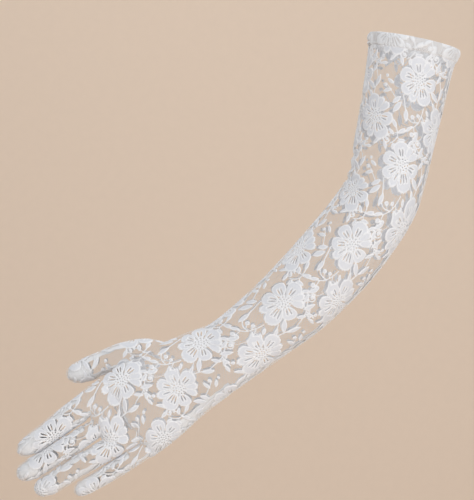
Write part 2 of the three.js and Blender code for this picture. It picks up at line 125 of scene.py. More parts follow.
def limb(rows):
    """Columns of a limb, the row number and the distance at each step along it, and its rounded tip."""
    made = dict(zip(COLUMNS, np.array(rows, float).T))
    made["f"] = np.arange(STEPS_A_ROW * (len(rows) - 1) + 1) / STEPS_A_ROW
    made["line"] = np.stack([value_at(made["x"], made["f"]), value_at(made["z"], made["f"])], axis=1)
    made["along"] = walked(made["line"])
    made["length"] = made["along"][-1]
    made["tipped"] = rows[-1][3] == 0
    made["last_row"] = len(rows) - (2 if made["tipped"] else 1)
    radius = made["depth"][made["last_row"]] / 2
    full = made["length"] - radius
    if made["tipped"]:
        full = np.interp(made["last_row"], made["f"], made["along"])
    made["tip_start"] = full
    made["tip_reach"] = made["length"] - full
    made["tip_curve"] = (made["tip_reach"] + radius) / 2
    made["cloth"] = full + (np.pi / 2) * made["tip_curve"]
    return made


LIMBS = {name: limb(rows) for name, rows in SECTIONS.items()}
print({name: round(float(one["cloth"])) for name, one in LIMBS.items()}, "mm of cloth along each limb")

# %% [markdown]
# ## Cloth coordinates
# A place on the flat cloth is how far it lies along the limb and how far across from the middle
# of its panel. Across an oval section the two are linked by the length of the oval's edge, so
# cloth laid this way is neither stretched nor squeezed.

# %% Sections of a limb and the length of an oval's edge
NODES, WEIGHTS = np.polynomial.legendre.leggauss(6)
NUDGE = 0.02  # share of a row to either side, from which the direction of the middle line is taken


def section(one, along):
    """Middle, direction along, direction to the outer seam, half width, half depth at each distance."""
    f = np.interp(along, one["along"], one["f"])
    past = np.where(along > one["length"], along - one["length"], np.minimum(along, 0))
    f = f + past * (one["f"][1] - one["f"][0]) / (one["along"][1] - one["along"][0])
    middle = np.stack([value_at(one[c], f) for c in ("x", "y", "z")], axis=-1)
    ahead = [value_at(one[c], f + NUDGE) - value_at(one[c], f - NUDGE) for c in ("x", "z")]
    ahead = np.stack(ahead, axis=-1)
    ahead /= np.linalg.norm(ahead, axis=-1, keepdims=True)
    flat = np.zeros_like(ahead[..., 0])
    forward = np.stack([ahead[..., 0], flat, ahead[..., 1]], axis=-1)
    outward = np.stack([-ahead[..., 1], flat, ahead[..., 0]], axis=-1)
    sized = np.minimum(f, one["last_row"]) if one["tipped"] else f
    return middle, forward, outward, value_at(one["width"], sized) / 2, value_at(one["depth"], sized) / 2


def oval_edge(turn, half_width, half_depth):
    """Length of the edge from the middle to turn: integral of sqrt((w cos q)^2 + (d sin q)^2) dq."""
    q = turn[..., None] * (NODES + 1) / 2
    speed = np.hypot(half_width[..., None] * np.cos(q), half_depth[..., None] * np.sin(q))
    return turn / 2 * (speed * WEIGHTS).sum(axis=-1)


def oval_turn(across, half_width, half_depth):
    """Angle whose edge length is across, by four Newton steps."""
    turn = across / np.maximum((half_width + half_depth) / 2, 1e-6)
    for _ in range(4):
        turn = np.clip(turn, -np.pi / 2, np.pi / 2)
        speed = np.hypot(half_width * np.cos(turn), half_depth * np.sin(turn))
        turn = turn - (oval_edge(turn, half_width, half_depth) - across) / np.maximum(speed, 1e-3)
    return np.clip(turn, -np.pi / 2, np.pi / 2)


quarter = oval_edge(np.array([np.pi / 2]), np.array([38.5]), np.array([39.0]))
print("from the middle of a panel to its seam at the opening:", quarter.round(1), "mm")

# %% [markdown]
# At a fingertip the real panels are cut to a curve and eased together, so that the end is round.
# Here the distance along the cloth turns into an angle there, and the oval closes with it.

# %% Round a fingertip
def around_tip(one, cloth):
    """Distance along, share of the full section and lean forward; a quarter circle over the tip."""
    lean = np.clip((cloth - one["tip_start"]) / one["tip_curve"], 0, np.pi / 2)
    along = np.where(lean > 0, one["tip_start"] + one["tip_reach"] * np.sin(lean), cloth)
    return along, np.cos(lean), lean


def tapered(one, half_width, half_depth, share):
    """Half sizes near the end: a fingertip closes all round, the end of the palm only from back to front."""
    return half_width * (share if one["tipped"] else 1), half_depth * share


def half_edge(one, cloth):
    """Cloth across, from the middle of a panel to its seam."""
    along, share, _ = around_tip(one, cloth)
    *_, half_width, half_depth = section(one, along)
    quarter = np.full_like(half_width, np.pi / 2)
    return oval_edge(quarter, *tapered(one, half_width, half_depth, share))


widest = {name: float(half_edge(one, np.linspace(0, one["cloth"], 60)).max()) for name, one in LIMBS.items()}
print("half a panel across, in mm:", {name: round(w, 1) for name, w in widest.items()})

# %% [markdown]
# The elbow is bent, so the sleeve ripples a little at its inner bend. The ripples are strongest
# at the inner seam and die away to nothing at the middle of each panel. Small waves that cross
# the forearm and wrist keep the stretched cloth from looking like a pipe.

# %% From cloth to the worn glove
WAVE = (0.25, 9, 14)  # height of the small waves, mm, and how many mm along and across make a radian


def ripple(one, along, turn):
    """Depth of the elbow's creases: sum of depth * inner^3 * exp(-((along - place) / (width / 2))^2)."""
    if one is not LIMBS["arm"]:
        return 0 * along
    inner = np.maximum(0, -np.sin(turn)) ** 3
    creases = sum(d * np.exp(-(((along - a) / (w / 2)) ** 2)) for a, d, w in CREASES)
    return creases * inner


def worn(one, side, cloth, across, height=0.0):
    """Points in metres, height above the cloth, on the back (side -1) or the palm (side 1)."""
    along, share, lean = around_tip(one, cloth)
    middle, forward, outward, half_width, half_depth = section(one, along)
    half_width, half_depth = tapered(one, half_width, half_depth, share)
    turn = oval_turn(across, half_width, half_depth)
    crosswise, out = half_depth * np.sin(turn), half_width * np.cos(turn)
    size = np.maximum(np.hypot(crosswise, out), 1e-6)
    wave = WAVE[0] * np.sin(along / WAVE[1] + across / WAVE[2]) * np.cos(turn) * (one is LIMBS["arm"])
    lift = (height + wave) * np.cos(lean)
    to_side = (half_width - ripple(one, along, turn)) * np.sin(turn) + lift * crosswise / size
    to_front = half_depth * np.cos(turn) + lift * out / size
    points = middle + outward * to_side[..., None] + forward * ((height + wave) * np.sin(lean))[..., None]
    points[..., 1] += side * to_front
    return points * MM


middle_of_back = worn(LIMBS["arm"], -1, np.array([200.0]), np.array([0.0]))
print("middle of the back of the sleeve, 200 mm down:", middle_of_back.round(4))

# %% [markdown]
# ## Where limbs meet
# Thumb and fingers grow out of the palm, and there is no cloth inside the glove where they do.
# A point counts as outside a limb when it lies outside the oval section nearest to it, and only
# such points are kept. The panels meet in a smooth line because the cut runs through the faces.

# %% Distance outside the other limbs
def outside(one, points):
    """Rough distance in mm outside a limb: (sqrt((side/w)^2 + (front/d)^2) - 1) * min(w, d)."""
    far = np.full(len(points), 50.0)
    flat = points[:, [0, 2]]
    low, high = one["line"].min(axis=0) - 25, one["line"].max(axis=0) + 25
    near = np.flatnonzero(((flat > low) & (flat < high)).all(axis=1))
    for part in np.array_split(near, max(1, len(near) // 20000)):
        gaps = np.linalg.norm(flat[part][:, None] - one["line"][None], axis=2)
        along = one["along"][gaps.argmin(axis=1)]
        middle, forward, _, _, _ = section(one, along)
        along = along + ((points[part] - middle) * forward).sum(axis=1)
        reach = np.clip((along - one["tip_start"]) / max(one["tip_reach"], 1e-6), 0, 1)
        middle, _, outward, half_width, half_depth = section(one, along)
        wide, deep = tapered(one, half_width, half_depth, np.sqrt(1 - reach**2))
        wide, deep = np.maximum(wide, 0.3), np.maximum(deep, 0.3)
        offset = points[part] - middle
        oval = np.hypot((offset * outward).sum(axis=1) / wide, offset[:, 1] / deep)
        ends = np.maximum(-along, along - one["length"])
        far[part] = np.maximum((oval - 1) * np.minimum(wide, deep), ends)
    return far


on_thumb = worn(LIMBS["thumb"], -1, np.array([10.0, 50.0]), np.array([0.0, 0.0])) / MM
print("start and middle of the thumb, outside the palm by", outside(LIMBS["arm"], on_thumb).round(1), "mm")

# %% [markdown]
# ## One repeat of the lace
# The lace is a common floral pattern: two flowers to a repeat, each with eight rounded petals
# and a middle pierced by two rings of holes, and between them leafy vines, sprays of buds and
# curled tendrils. It is charted here as the few shapes that a lace designer would draw,
# in mm from the middle of the first flower, down the glove and across it. Turns are in degrees
# from straight down the glove towards the little finger's side.

# %% Chart of the repeat
REPEAT = (75.0, 62.0)
FLOWERS = [(0, 0, 0), (38, 29.5, 6)]  # down, across, turn
PETALS = [  # turn, start, reach, width, slots
    (-102, 4.6, 18, 12, 2), (-162, 4.6, 20, 12.5, 2), (163, 5.5, 17.5, 6.5, 0), (136, 5.2, 16.5, 6.5, 0),
    (78, 4.6, 16.5, 11.5, 2), (25, 4.6, 22.5, 13, 3), (-12, 5.5, 20.5, 7.5, 1), (-46, 4.6, 18.5, 11, 2),
]
MIDDLE = 5.6  # radius of a flower's middle
HOLES = [(1, 0.0, 0.5), (6, 2.3, 0.6), (11, 4.5, 0.62)]  # how many, radius of their ring and own radius
APART = 0.35  # line that keeps two petals apart, mm
FULLER, LOBE, LOBES = 0.32, 0.22, 2.4  # of a petal's outer end: share fuller, depth of lobes, radians a mm
SLOT = {"start": 0.16, "end": 0.56, "half_width": 0.62, "narrower": 0.22, "apart": 3.0}  # shares, then mm
LEAVES = [  # down, across, turn, length, width
    (27, -14.7, -26, 13, 4.8), (20.8, -16.4, -40, 10, 4.2), (32.5, -6, 10, 12, 4), (43.5, -1.2, -40, 9, 3.2),
    (47, -5.8, -60, 7, 3), (26.3, 13, 40, 7, 3), (36.5, 11.6, 48, 9, 3.2), (31, 15.5, 62, 7, 2.8),
    (-13.2, -18.3, 20, 9.5, 3.2), (-13.4, -11.5, 5, 6.5, 3), (-20, -5.3, 105, 7.5, 3.4),
    (-28.2, -6.9, 140, 8.5, 3.2), (-25.6, -15.2, -130, 7.5, 3.2), (-33.4, -14, -147, 9.5, 3.4),
    (-25, 6.5, 160, 10, 4), (-14.2, 15.6, 167, 12, 3.8), (-4, 18.8, 150, 9, 3.4), (-9.4, 22.6, 60, 8, 3),
    (11, 17.6, 56, 13, 4.6), (19.4, 19.2, 40, 9, 3.2), (6.3, 25.4, 167, 12, 4), (58, 8, 30, 9, 3.4),
    (55.5, 3, -30, 8, 3.2), (62, 16, 75, 8.5, 3.2), (64.5, 22, 130, 8, 3), (52, -21, 15, 9, 3.4),
    (60, -26.5, -35, 9, 3.2), (66, 28.5, 95, 7.5, 3), (14, -26, -65, 9, 3.4), (5.5, -24.5, -120, 8, 3.2),
]
BUDS = [  # down, across, radius
    (32.6, -0.2, 1.9), (30.4, 4.4, 1.7), (47.5, 2.4, 2.1), (46.2, 6.4, 2.0), (32.5, 20.4, 1.6),
    (37.5, 18.4, 1.5), (-18.4, -17.4, 1.5), (-20.6, 10.6, 1.6), (-14.5, 25.5, 1.6), (66, 11.5, 1.7),
    (60, 1, 1.5), (9.5, -29, 1.7), (1, -28.5, 1.5),
]
STEMS = [  # down and across of the start, the bend and the end, then the width
    (15, -11.7, 24, -8.5, 33, -5.5, 1.0), (33, -5.5, 39, -1, 36, 5.5, 0.9), (23, 8, 30, 8, 36, 6.2, 0.9),
    (36, 6.2, 41, 4, 46, -4, 0.9), (41, 3, 44, 3.5, 47, 5, 0.8), (30, 7.8, 33, 11, 41, 15.5, 0.8),
    (33, 6.5, 31, 5, 31, 4, 0.7), (36, 3, 34, 1, 33, 0, 0.7), (32, 11, 31, 16, 33, 21, 0.7),
    (34, 13, 46, 15, 51, 11, 0.6), (51, 11, 54, 7, 45, 6, 0.6), (-15.2, -14.6, -20, -8, -25, -9.7, 0.9),
    (-25, -9.7, -30, -11, -36, -15, 0.9), (-22, -9, -20, -7, -19, -4, 0.8), (-16, -6, -17, 8, -25, 4, 0.8),
    (-20, 4, -16, 12, -9, 18, 0.9), (-9, 18, -4, 21, 4, 24, 0.9), (4, 24, 18, 23, 27, 21, 0.9),
    (14, 14, 18, 18, 25, 21, 0.8), (50, 10, 56, 5, 62, 9, 0.8), (62, 9, 67, 17, 63, 27, 0.9),
    (20, -17, 14, -22, 8, -28, 0.8), (45, -3, 52, -14, 54, -24, 0.8), (50, -14, 57, -22, 63, -28, 0.8),
]
CURLS = [(-18, -17.6, 3.8, 150), (-20.4, 11, 3.2, -20), (60.5, 2, 3.0, 60)]  # down, across, radius, turn
CURL_TURN, CURL_CLOSES, CURL_WIDTH = 300, 0.45, 1.0  # degrees, share of the radius, mm
print(len(PETALS), "petals,", len(LEAVES), "leaves,", len(BUDS), "buds,", len(STEMS), "stems")

# %% [markdown]
# Each shape is a distance: how far a point lies inside it, in mm, and below zero outside. The
# lace is the largest of all of them. Every shape is worked out once over the repeat, wrapped
# round its edges, and the result is kept as a fine grid that any point can be looked up in.

# %% Distances inside the shapes
def wrapped(down, across, at):
    """Offsets from a place to the grid, taken round the repeat so that each lies within half of it."""
    return tuple((g - c + size / 2) % size - size / 2 for g, c, size in zip((down, across), at, REPEAT))


def turned(p, q, degrees):
    """Coordinates along and across a direction."""
    c, s = np.cos(np.radians(degrees)), np.sin(np.radians(degrees))
    return p * c + q * s, q * c - p * s


def petal(p, q, start, reach, width):
    """Egg, (1 - sqrt((p/a)^2 + (q/b)^2)) * b, fuller at its outer end, which is slightly lobed."""
    a, b = (reach - start) / 2, width / 2
    share = (p - (start + reach) / 2) / a
    body = (1 - np.hypot(share, q / (b * np.clip(1 + FULLER * share, 0.5, 1.5)))) * min(a, b)
    return body + LOBE * np.cos(q * LOBES) * np.clip(share, 0, 1)


def slotted(body, p, q, start, reach, slots):
    """The petal less narrow slots fanned in it, each a line that is widest in its middle."""
    inner, outer = (start + SLOT[end] * (reach - start) for end in ("start", "end"))
    along = np.clip(p, inner, outer)
    thick = SLOT["half_width"] - SLOT["narrower"] * np.abs(2 * (along - inner) / (outer - inner) - 1)
    for i in range(slots):
        fan = (i - (slots - 1) / 2) * SLOT["apart"]
        body = np.minimum(body, np.hypot(p - along, q - fan * along / outer) - thick)
    return body


def leaf(p, q, length, width):
    """Pointed leaf, b (1 - (p/a)^2) - |q|."""
    return width / 2 * (1 - (2 * p / length) ** 2) - np.abs(q)


def stroke(down, across, points, width):
    """Half a width less the distance to a line through the points."""
    nearest = np.full(down.shape, 99.0)
    for (a, b), (c, d) in zip(points[:-1], points[1:]):
        p, q = wrapped(down, across, (a, b))
        run = np.array([c - a, d - b])
        share = np.clip((p * run[0] + q * run[1]) / (run @ run), 0, 1)
        nearest = np.minimum(nearest, np.hypot(p - share * run[0], q - share * run[1]))
    return width / 2 - nearest


middle_of_leaf = leaf(0.0, 0.0, *LEAVES[0][3:])
print("the middle of the first leaf lies", middle_of_leaf, "mm inside it")

# %% [markdown]
# A flower is knitted in one go, petal beside petal, with an open stitch between them. The slots
# and holes are open stitches too. For the net, which has none of them behind it, the flower is
# worked out once more with everything filled.

# %% Flower
def flower(down, across, at, pierced):
    """Eight petals round a middle with two rings of holes; where the nearest two petals overlap by less
    than APART they are kept apart by a thin line, and a petal more than 3 mm away draws none."""
    p, q = wrapped(down, across, at[:2])
    each = []
    for turn, start, reach, width, slots in PETALS:
        along, beside = turned(p, q, turn + at[2])
        body = petal(along, beside, start, reach, width)
        each.append(slotted(body, along, beside, start, reach, slots) if pierced else body)
    each = np.sort(each, axis=0)
    body = each[-1]
    if pierced:
        body = np.minimum(body, body - np.maximum(each[-2], -3) - APART)
    body = np.maximum(body, MIDDLE - np.hypot(p, q))
    for count, ring, radius in HOLES if pierced else ():
        for i in range(count):
            angle = 2 * np.pi * i / count + ring
            body = np.minimum(body, np.hypot(p - ring * np.cos(angle), q - ring * np.sin(angle)) - radius)
    return body


centre = flower(np.array([0.0]), np.array([0.0]), FLOWERS[0], False)
print("the middle of a filled flower lies", centre, "mm inside it")

# %% [markdown]
# Stems are drawn as short curves and the curls as three quarters of a turn that closes in on a
# bud. The share of the repeat that is covered shows whether the chart is as full as the real
# lace, where about half is motif and the rest fine net.

# %% Draw the repeat
GRAIN = 0.2  # spacing of the chart's grid, mm
grid_size = [int(round(size / GRAIN)) for size in REPEAT]
down, across = np.meshgrid(*(np.arange(n) * size / n for n, size in zip(grid_size, REPEAT)), indexing="ij")
chart = np.maximum.reduce([flower(down, across, at, True) for at in FLOWERS])
filled_flowers = np.maximum.reduce([flower(down, across, at, False) for at in FLOWERS])
for a, b, turn, length, width in LEAVES:
    chart = np.maximum(chart, leaf(*turned(*wrapped(down, across, (a, b)), turn), length, width))
for a, b, radius in BUDS:
    chart = np.maximum(chart, radius - np.hypot(*wrapped(down, across, (a, b))))
t = np.linspace(0, 1, 7)[:, None]
for *places, width in STEMS:
    start, bend, end = np.reshape(places, (3, 2))
    curve = (1 - t) ** 2 * start + 2 * t * (1 - t) * bend + t**2 * end
    chart = np.maximum(chart, stroke(down, across, curve, width))
t = np.linspace(0, 1, 12)
for a, b, radius, first in CURLS:
    angle, r = np.radians(first + CURL_TURN * t), radius * (1 - CURL_CLOSES * t)
    curve = np.stack([a + r * np.cos(angle), b + r * np.sin(angle)], axis=1)
    chart = np.maximum(chart, stroke(down, across, curve, CURL_WIDTH))
filled_chart = np.maximum(chart, filled_flowers)
print(f"the motif covers {100 * (chart > 0).mean():.0f} % of the repeat")


def lace_at(down, across, chart=chart):
    """Chart looked up between its grid points, the same in every repeat."""
    p, q = (g / size * n for g, size, n in zip((down, across), REPEAT, chart.shape))
    i, j = np.floor(p).astype(int), np.floor(q).astype(int)
    x, y = p - i, q - j
    a, b = chart.shape
    rows, cols = (i % a, (i + 1) % a), (j % b, (j + 1) % b)
    near = chart[rows[0], cols[0]] * (1 - y) + chart[rows[0], cols[1]] * y
    far = chart[rows[1], cols[0]] * (1 - y) + chart[rows[1], cols[1]] * y
    return near * (1 - x) + far * x


# %% [markdown]
# ## Lay of the lace
# The cutter lays the flowers down the middle of the sleeve, and the cloth runs a little askew to
# the middle line by the time it reaches the hand. The table follows that line of flowers: where
# it lies across the arm, how much the rows slope there, and how far down the chart it has come.
# Each finger is cut in one with the palm, so the lace runs on into it: its chart starts where the
# finger leaves the arm, turned by its angle.

# %% Place on the chart
LAY = np.array([  # along the arm, across, slope of the rows, down the chart
    (-40, 9.4, 0, -75), (34.5, 9, -0.03, 0), (105, 8.6, -0.07, 75), (181, 1.5, -0.14, 150),
    (217, -1, -0.17, 187), (254.5, -6, -0.09, 225), (297, -12.6, 0, 264), (334.2, -20, 0, 300),
    (403.4, -29.3, 0, 375), (441.6, -21, 0, 414), (520, -21, 0, 492),
])


def on_chart(name, cloth, across):
    """Down and across on the chart for a place on a limb's cloth, square to the line of flowers."""
    one = LIMBS[name]
    if name != "arm":
        arm = LIMBS["arm"]
        root, ahead, *_ = section(one, np.array([0.0]))
        start = arm["along"][np.linalg.norm(arm["line"] - root[0, [0, 2]], axis=1).argmin()]
        middle, forward, outward, *_ = section(arm, np.array([start]))
        sideways = float(((root - middle) * outward).sum())
        c, s = float((ahead * forward).sum()), float((ahead * outward).sum())
        cloth, across = start + cloth * c - across * s, sideways + cloth * s + across * c
    beside = across - np.interp(cloth, *LAY.T[[0, 1]])
    askew = np.interp(cloth, *LAY.T[[0, 2]])
    level = cloth + askew * beside
    beside = across - np.interp(level, *LAY.T[[0, 1]])
    return np.interp(level, *LAY.T[[0, 3]]), beside * np.hypot(1, askew)


print("flower on the sleeve lies at", on_chart("arm", np.array([180.6]), np.array([4.1])), "on the chart")

# %% [markdown]
# ## Cutting a grid
# Lace is cut from a fine flat grid of triangles: what lies outside the motif is dropped, and
# triangles on its edge are cut where the distance is zero, so that every petal has a clean edge.

# %% Grid of triangles
STEP = 0.56  # side of a grid cell, mm


def cells(rows, columns):
    """Row and column of each cell of a grid, row by row."""
    return (g.ravel() for g in np.meshgrid(np.arange(rows), np.arange(columns), indexing="ij"))


def flat_grid(length_low, length_high, half_width, step):
    """Points (cloth, across) of a regular grid and its triangles, with the diagonals alternating."""
    a = np.arange(length_low, length_high + step, step)
    b = np.arange(-half_width - step, half_width + 2 * step, step)
    points = np.stack(np.meshgrid(a, b, indexing="ij"), axis=-1).reshape(-1, 2)
    i, j = cells(len(a) - 1, len(b) - 1)
    n = len(b)
    p, q, r, s = i * n + j, i * n + j + 1, (i + 1) * n + j + 1, (i + 1) * n + j
    even = ((i + j) % 2 == 0)[:, None]
    first = np.where(even, np.stack([p, q, r], 1), np.stack([p, q, s], 1))
    second = np.where(even, np.stack([p, r, s], 1), np.stack([q, r, s], 1))
    return points, np.concatenate([first, second])


print("a square of cloth, 10 mm wide, has", len(flat_grid(0, 10, 5, STEP)[1]), "triangles before it is cut")

# %% [markdown]
# A triangle with one or two of its points inside keeps the part that lies inside. Two triangles
# that share a cut edge share its new point as well, so the lace stays in one piece.

# %% Cut along a line
SLIVER = 0.08  # an edge is never cut closer to its end than this share of it


def cut(points, triangles, inside):
    """Keep what has inside > 0; triangles on the edge are cut at inside = 0, with no sliver left."""
    held = inside > 0
    count = held[triangles].sum(axis=1)
    kept, fresh, size = [triangles[count == 3]], [], len(points)
    for number in (1, 2):
        some = triangles[count == number]
        odd = (held[some] == (number == 1)).argmax(axis=1)
        a, b, c = (some[np.arange(len(some)), (odd + k) % 3] for k in range(3))
        cuts = []
        for other in (b, c):
            pair = np.sort(np.stack([a, other], 1), axis=1)
            share = inside[pair[:, 0]] / (inside[pair[:, 0]] - inside[pair[:, 1]])
            share = np.clip(share, SLIVER, 1 - SLIVER)[:, None]
            fresh.append((pair, points[pair[:, 0]] * (1 - share) + points[pair[:, 1]] * share))
            cuts.append(size + np.arange(len(pair)))
            size += len(pair)
        ab, ac = cuts
        if number == 1:
            kept.append(np.stack([a, ab, ac], 1))
        else:
            kept += [np.stack([ab, b, c], 1), np.stack([ab, c, ac], 1)]
    pairs = np.concatenate([pair for pair, _ in fresh])
    places = np.concatenate([place for _, place in fresh])
    both = pairs[:, 0] * len(points) + pairs[:, 1]
    _, first, same = np.unique(both, return_index=True, return_inverse=True)
    triangles = np.concatenate(kept)
    new = triangles >= len(points)
    triangles[new] = len(points) + same.ravel()[triangles[new] - len(points)]
    points = np.concatenate([points, places[first]])
    used, triangles = np.unique(triangles, return_inverse=True)
    return points[used], triangles.reshape(-1, 3)


points, triangles = flat_grid(0, 10, 5, STEP)
disc, disc_faces = cut(points, triangles, 4 - np.hypot(points[:, 0] - 5, points[:, 1]))
print("a disc of 8 mm cut from it has", len(disc), "points and", len(disc_faces), "triangles")

# %% [markdown]
# ## Helpers for pieces
# A piece is made from whole arrays of points and faces. Its place on the flat cloth, in metres,
# is kept as its UV map, so that threads in its material run with the cloth. How far a point lies
# inside the motif is kept too, for the tint of the motif's inner part.

# %% Make a mesh
def outside_others(name, points):
    """Smallest distance outside all the other limbs."""
    skip = ("arm", "knuckles") if name == "arm" else (name,)
    return np.minimum.reduce([outside(one, points) for key, one in LIMBS.items() if key not in skip])


def piece(name, points, faces, material, flat=None, smooth=True):
    """A mesh object at the origin from arrays of points in metres, faces and flat coordinates."""
    faces = np.asarray(faces, dtype=np.int32)
    mesh = bpy.data.meshes.new(name)
    mesh.vertices.add(len(points))
    mesh.vertices.foreach_set("co", np.asarray(points, dtype=np.float32).ravel())
    mesh.loops.add(faces.size)
    mesh.loops.foreach_set("vertex_index", faces.ravel())
    mesh.polygons.add(len(faces))
    mesh.polygons.foreach_set("loop_start", np.arange(len(faces), dtype=np.int32) * faces.shape[1])
    mesh.polygons.foreach_set("use_smooth", np.full(len(faces), smooth))
    if flat is not None:
        layer = mesh.uv_layers.new(name="flat cloth")
        layer.data.foreach_set("uv", np.asarray(flat, dtype=np.float32)[faces.ravel()].ravel())
    mesh.update(calc_edges=True)
    mesh.materials.append(material)
    made = bpy.data.objects.new(name, mesh)
    bpy.context.scene.collection.objects.link(made)
    print(f"{name}: {len(points)} points, {len(faces)} faces")
    return made


def keep_inside(made, inside):
    """Keep the distance inside the motif, in mm, as an attribute that the piece's material reads."""
    kept = made.data.attributes.new("inside", "FLOAT", "POINT")
    kept.data.foreach_set("value", inside.astype(np.float32))


def joined(parts):
    """Points, faces and flat coordinates of several parts as one."""
    starts = np.cumsum([0] + [len(points) for points, _, _ in parts[:-1]])
    faces = np.concatenate([f + start for (_, f, _), start in zip(parts, starts)])
    return np.concatenate([p for p, _, _ in parts]), faces, np.concatenate([u for _, _, u in parts])


on_finger = worn(LIMBS["index_finger"], -1, np.array([5.0, 40.0]), np.zeros(2)) / MM
clear = outside_others("index_finger", on_finger)
print("root and middle of the index finger:", clear.round(1), "mm outside the other limbs")

# %% [markdown]
# ## Threads in the materials
# Lace like this is knitted from soft white nylon and cotton. The motif is filled with thick
# thread that runs to and fro in short diagonal rows, and the net is made of fine twisted thread.
# One node group draws rows of thread from flat cloth coordinates, for every material here.

# %% Node group: rows of thread
def add_node(tree, kind, values, **settings):
    """A shader node with its settings and then the values of its sockets."""
    made = tree.nodes.new(f"ShaderNode{kind}")
    for key, value in settings.items():
        setattr(made, key, value)
    for key, value in values.items():
        made.inputs[key].default_value = value
    return made


def thread_group():
    """Height of crossing rows: |sin(x / spacing)| under a slower wave, with the thread's own twist; from the
    height a painted shade, lower between the rows, mixed with random mottle.
    """
    group = bpy.data.node_groups.new("rows of thread", "ShaderNodeTree")
    sockets = group.interface
    sockets.new_socket(name="Flat cloth", in_out="INPUT", socket_type="NodeSocketVector")
    for name, default in (("Spacing", 0.0005), ("Turn", 0.6), ("Unevenness", 0.3)):
        sockets.new_socket(name=name, in_out="INPUT", socket_type="NodeSocketFloat").default_value = default
    for name in ("Height", "Painted shade and mottle"):
        sockets.new_socket(name=name, in_out="OUTPUT", socket_type="NodeSocketFloat")
    links = group.links
    given, out = group.nodes.new("NodeGroupInput"), group.nodes.new("NodeGroupOutput")

    def math(kind, a, b=None):
        node = add_node(group, "Math", {}, operation=kind)
        for slot, value in zip(node.inputs, (a, b)):
            if isinstance(value, (int, float)):
                slot.default_value = value
            elif value is not None:
                links.new(value, slot)
        return node.outputs[0]

    spin = add_node(group, "VectorRotate", {}, rotation_type="Z_AXIS")
    links.new(given.outputs["Flat cloth"], spin.inputs["Vector"])
    links.new(given.outputs["Turn"], spin.inputs["Angle"])
    parts = add_node(group, "SeparateXYZ", {})
    links.new(spin.outputs[0], parts.inputs[0])
    noise = add_node(group, "TexNoise", {"Scale": 420, "Detail": 3})
    links.new(given.outputs["Flat cloth"], noise.inputs["Vector"])
    uneven = math("MULTIPLY", math("SUBTRACT", noise.outputs["Fac"], 0.5), given.outputs["Unevenness"])
    rows = math("DIVIDE", math("MULTIPLY", parts.outputs["X"], np.pi), given.outputs["Spacing"])
    rows = math("ADD", rows, math("MULTIPLY", uneven, 6))
    apart = math("MULTIPLY", given.outputs["Spacing"], 2.2)
    stitches = math("DIVIDE", math("MULTIPLY", parts.outputs["Y"], np.pi), apart)
    stitches = math("ADD", stitches, math("MULTIPLY", math("SINE", rows), 0.8))
    ridge = math("ABSOLUTE", math("SINE", rows))
    twist = math("ADD", math("MULTIPLY", math("ABSOLUTE", math("SINE", stitches)), 0.45), 0.55)
    height = math("ADD", math("MULTIPLY", ridge, twist), math("MULTIPLY", uneven, 0.5))
    # painted shade: the height of the rows, mixed with random mottle from the noise, later greys the colour
    # between the rows
    shade = math("ADD", math("MULTIPLY", height, 0.6), math("MULTIPLY", noise.outputs["Fac"], 0.4))
    links.new(height, out.inputs["Height"])
    links.new(shade, out.inputs["Painted shade and mottle"])
    return group


ROWS_OF_THREAD = thread_group()
print("node group with the sockets", [socket.name for socket in ROWS_OF_THREAD.interface.items_tree])

# %% [markdown]
# The five finishes differ in how thick their thread is, how much it catches the light and how
# grey their painted shade between the rows is. All are matt, with the faint sheen of stretch nylon. Inside
# its raised cord a petal's thread lies looser, a shade greyer and a step lower. The turned hem is
# warmer and lower where its lace is open and the elastic's own layer shows.

# %% Finishes
ROUGHNESS, ROUGHER = 0.72, 0.12  # on top of a row of thread, and how much more between the rows
RELIEF = 0.35  # height of a row as a share of the spacing
STEP_DOWN = 0.0003  # how far the tinted part lies under the rest, m


def new_material(name):
    """A material, its nodes and its shader."""
    made = bpy.data.materials.new(name)
    made.use_nodes = True
    return made, made.node_tree, made.node_tree.nodes["Principled BSDF"]


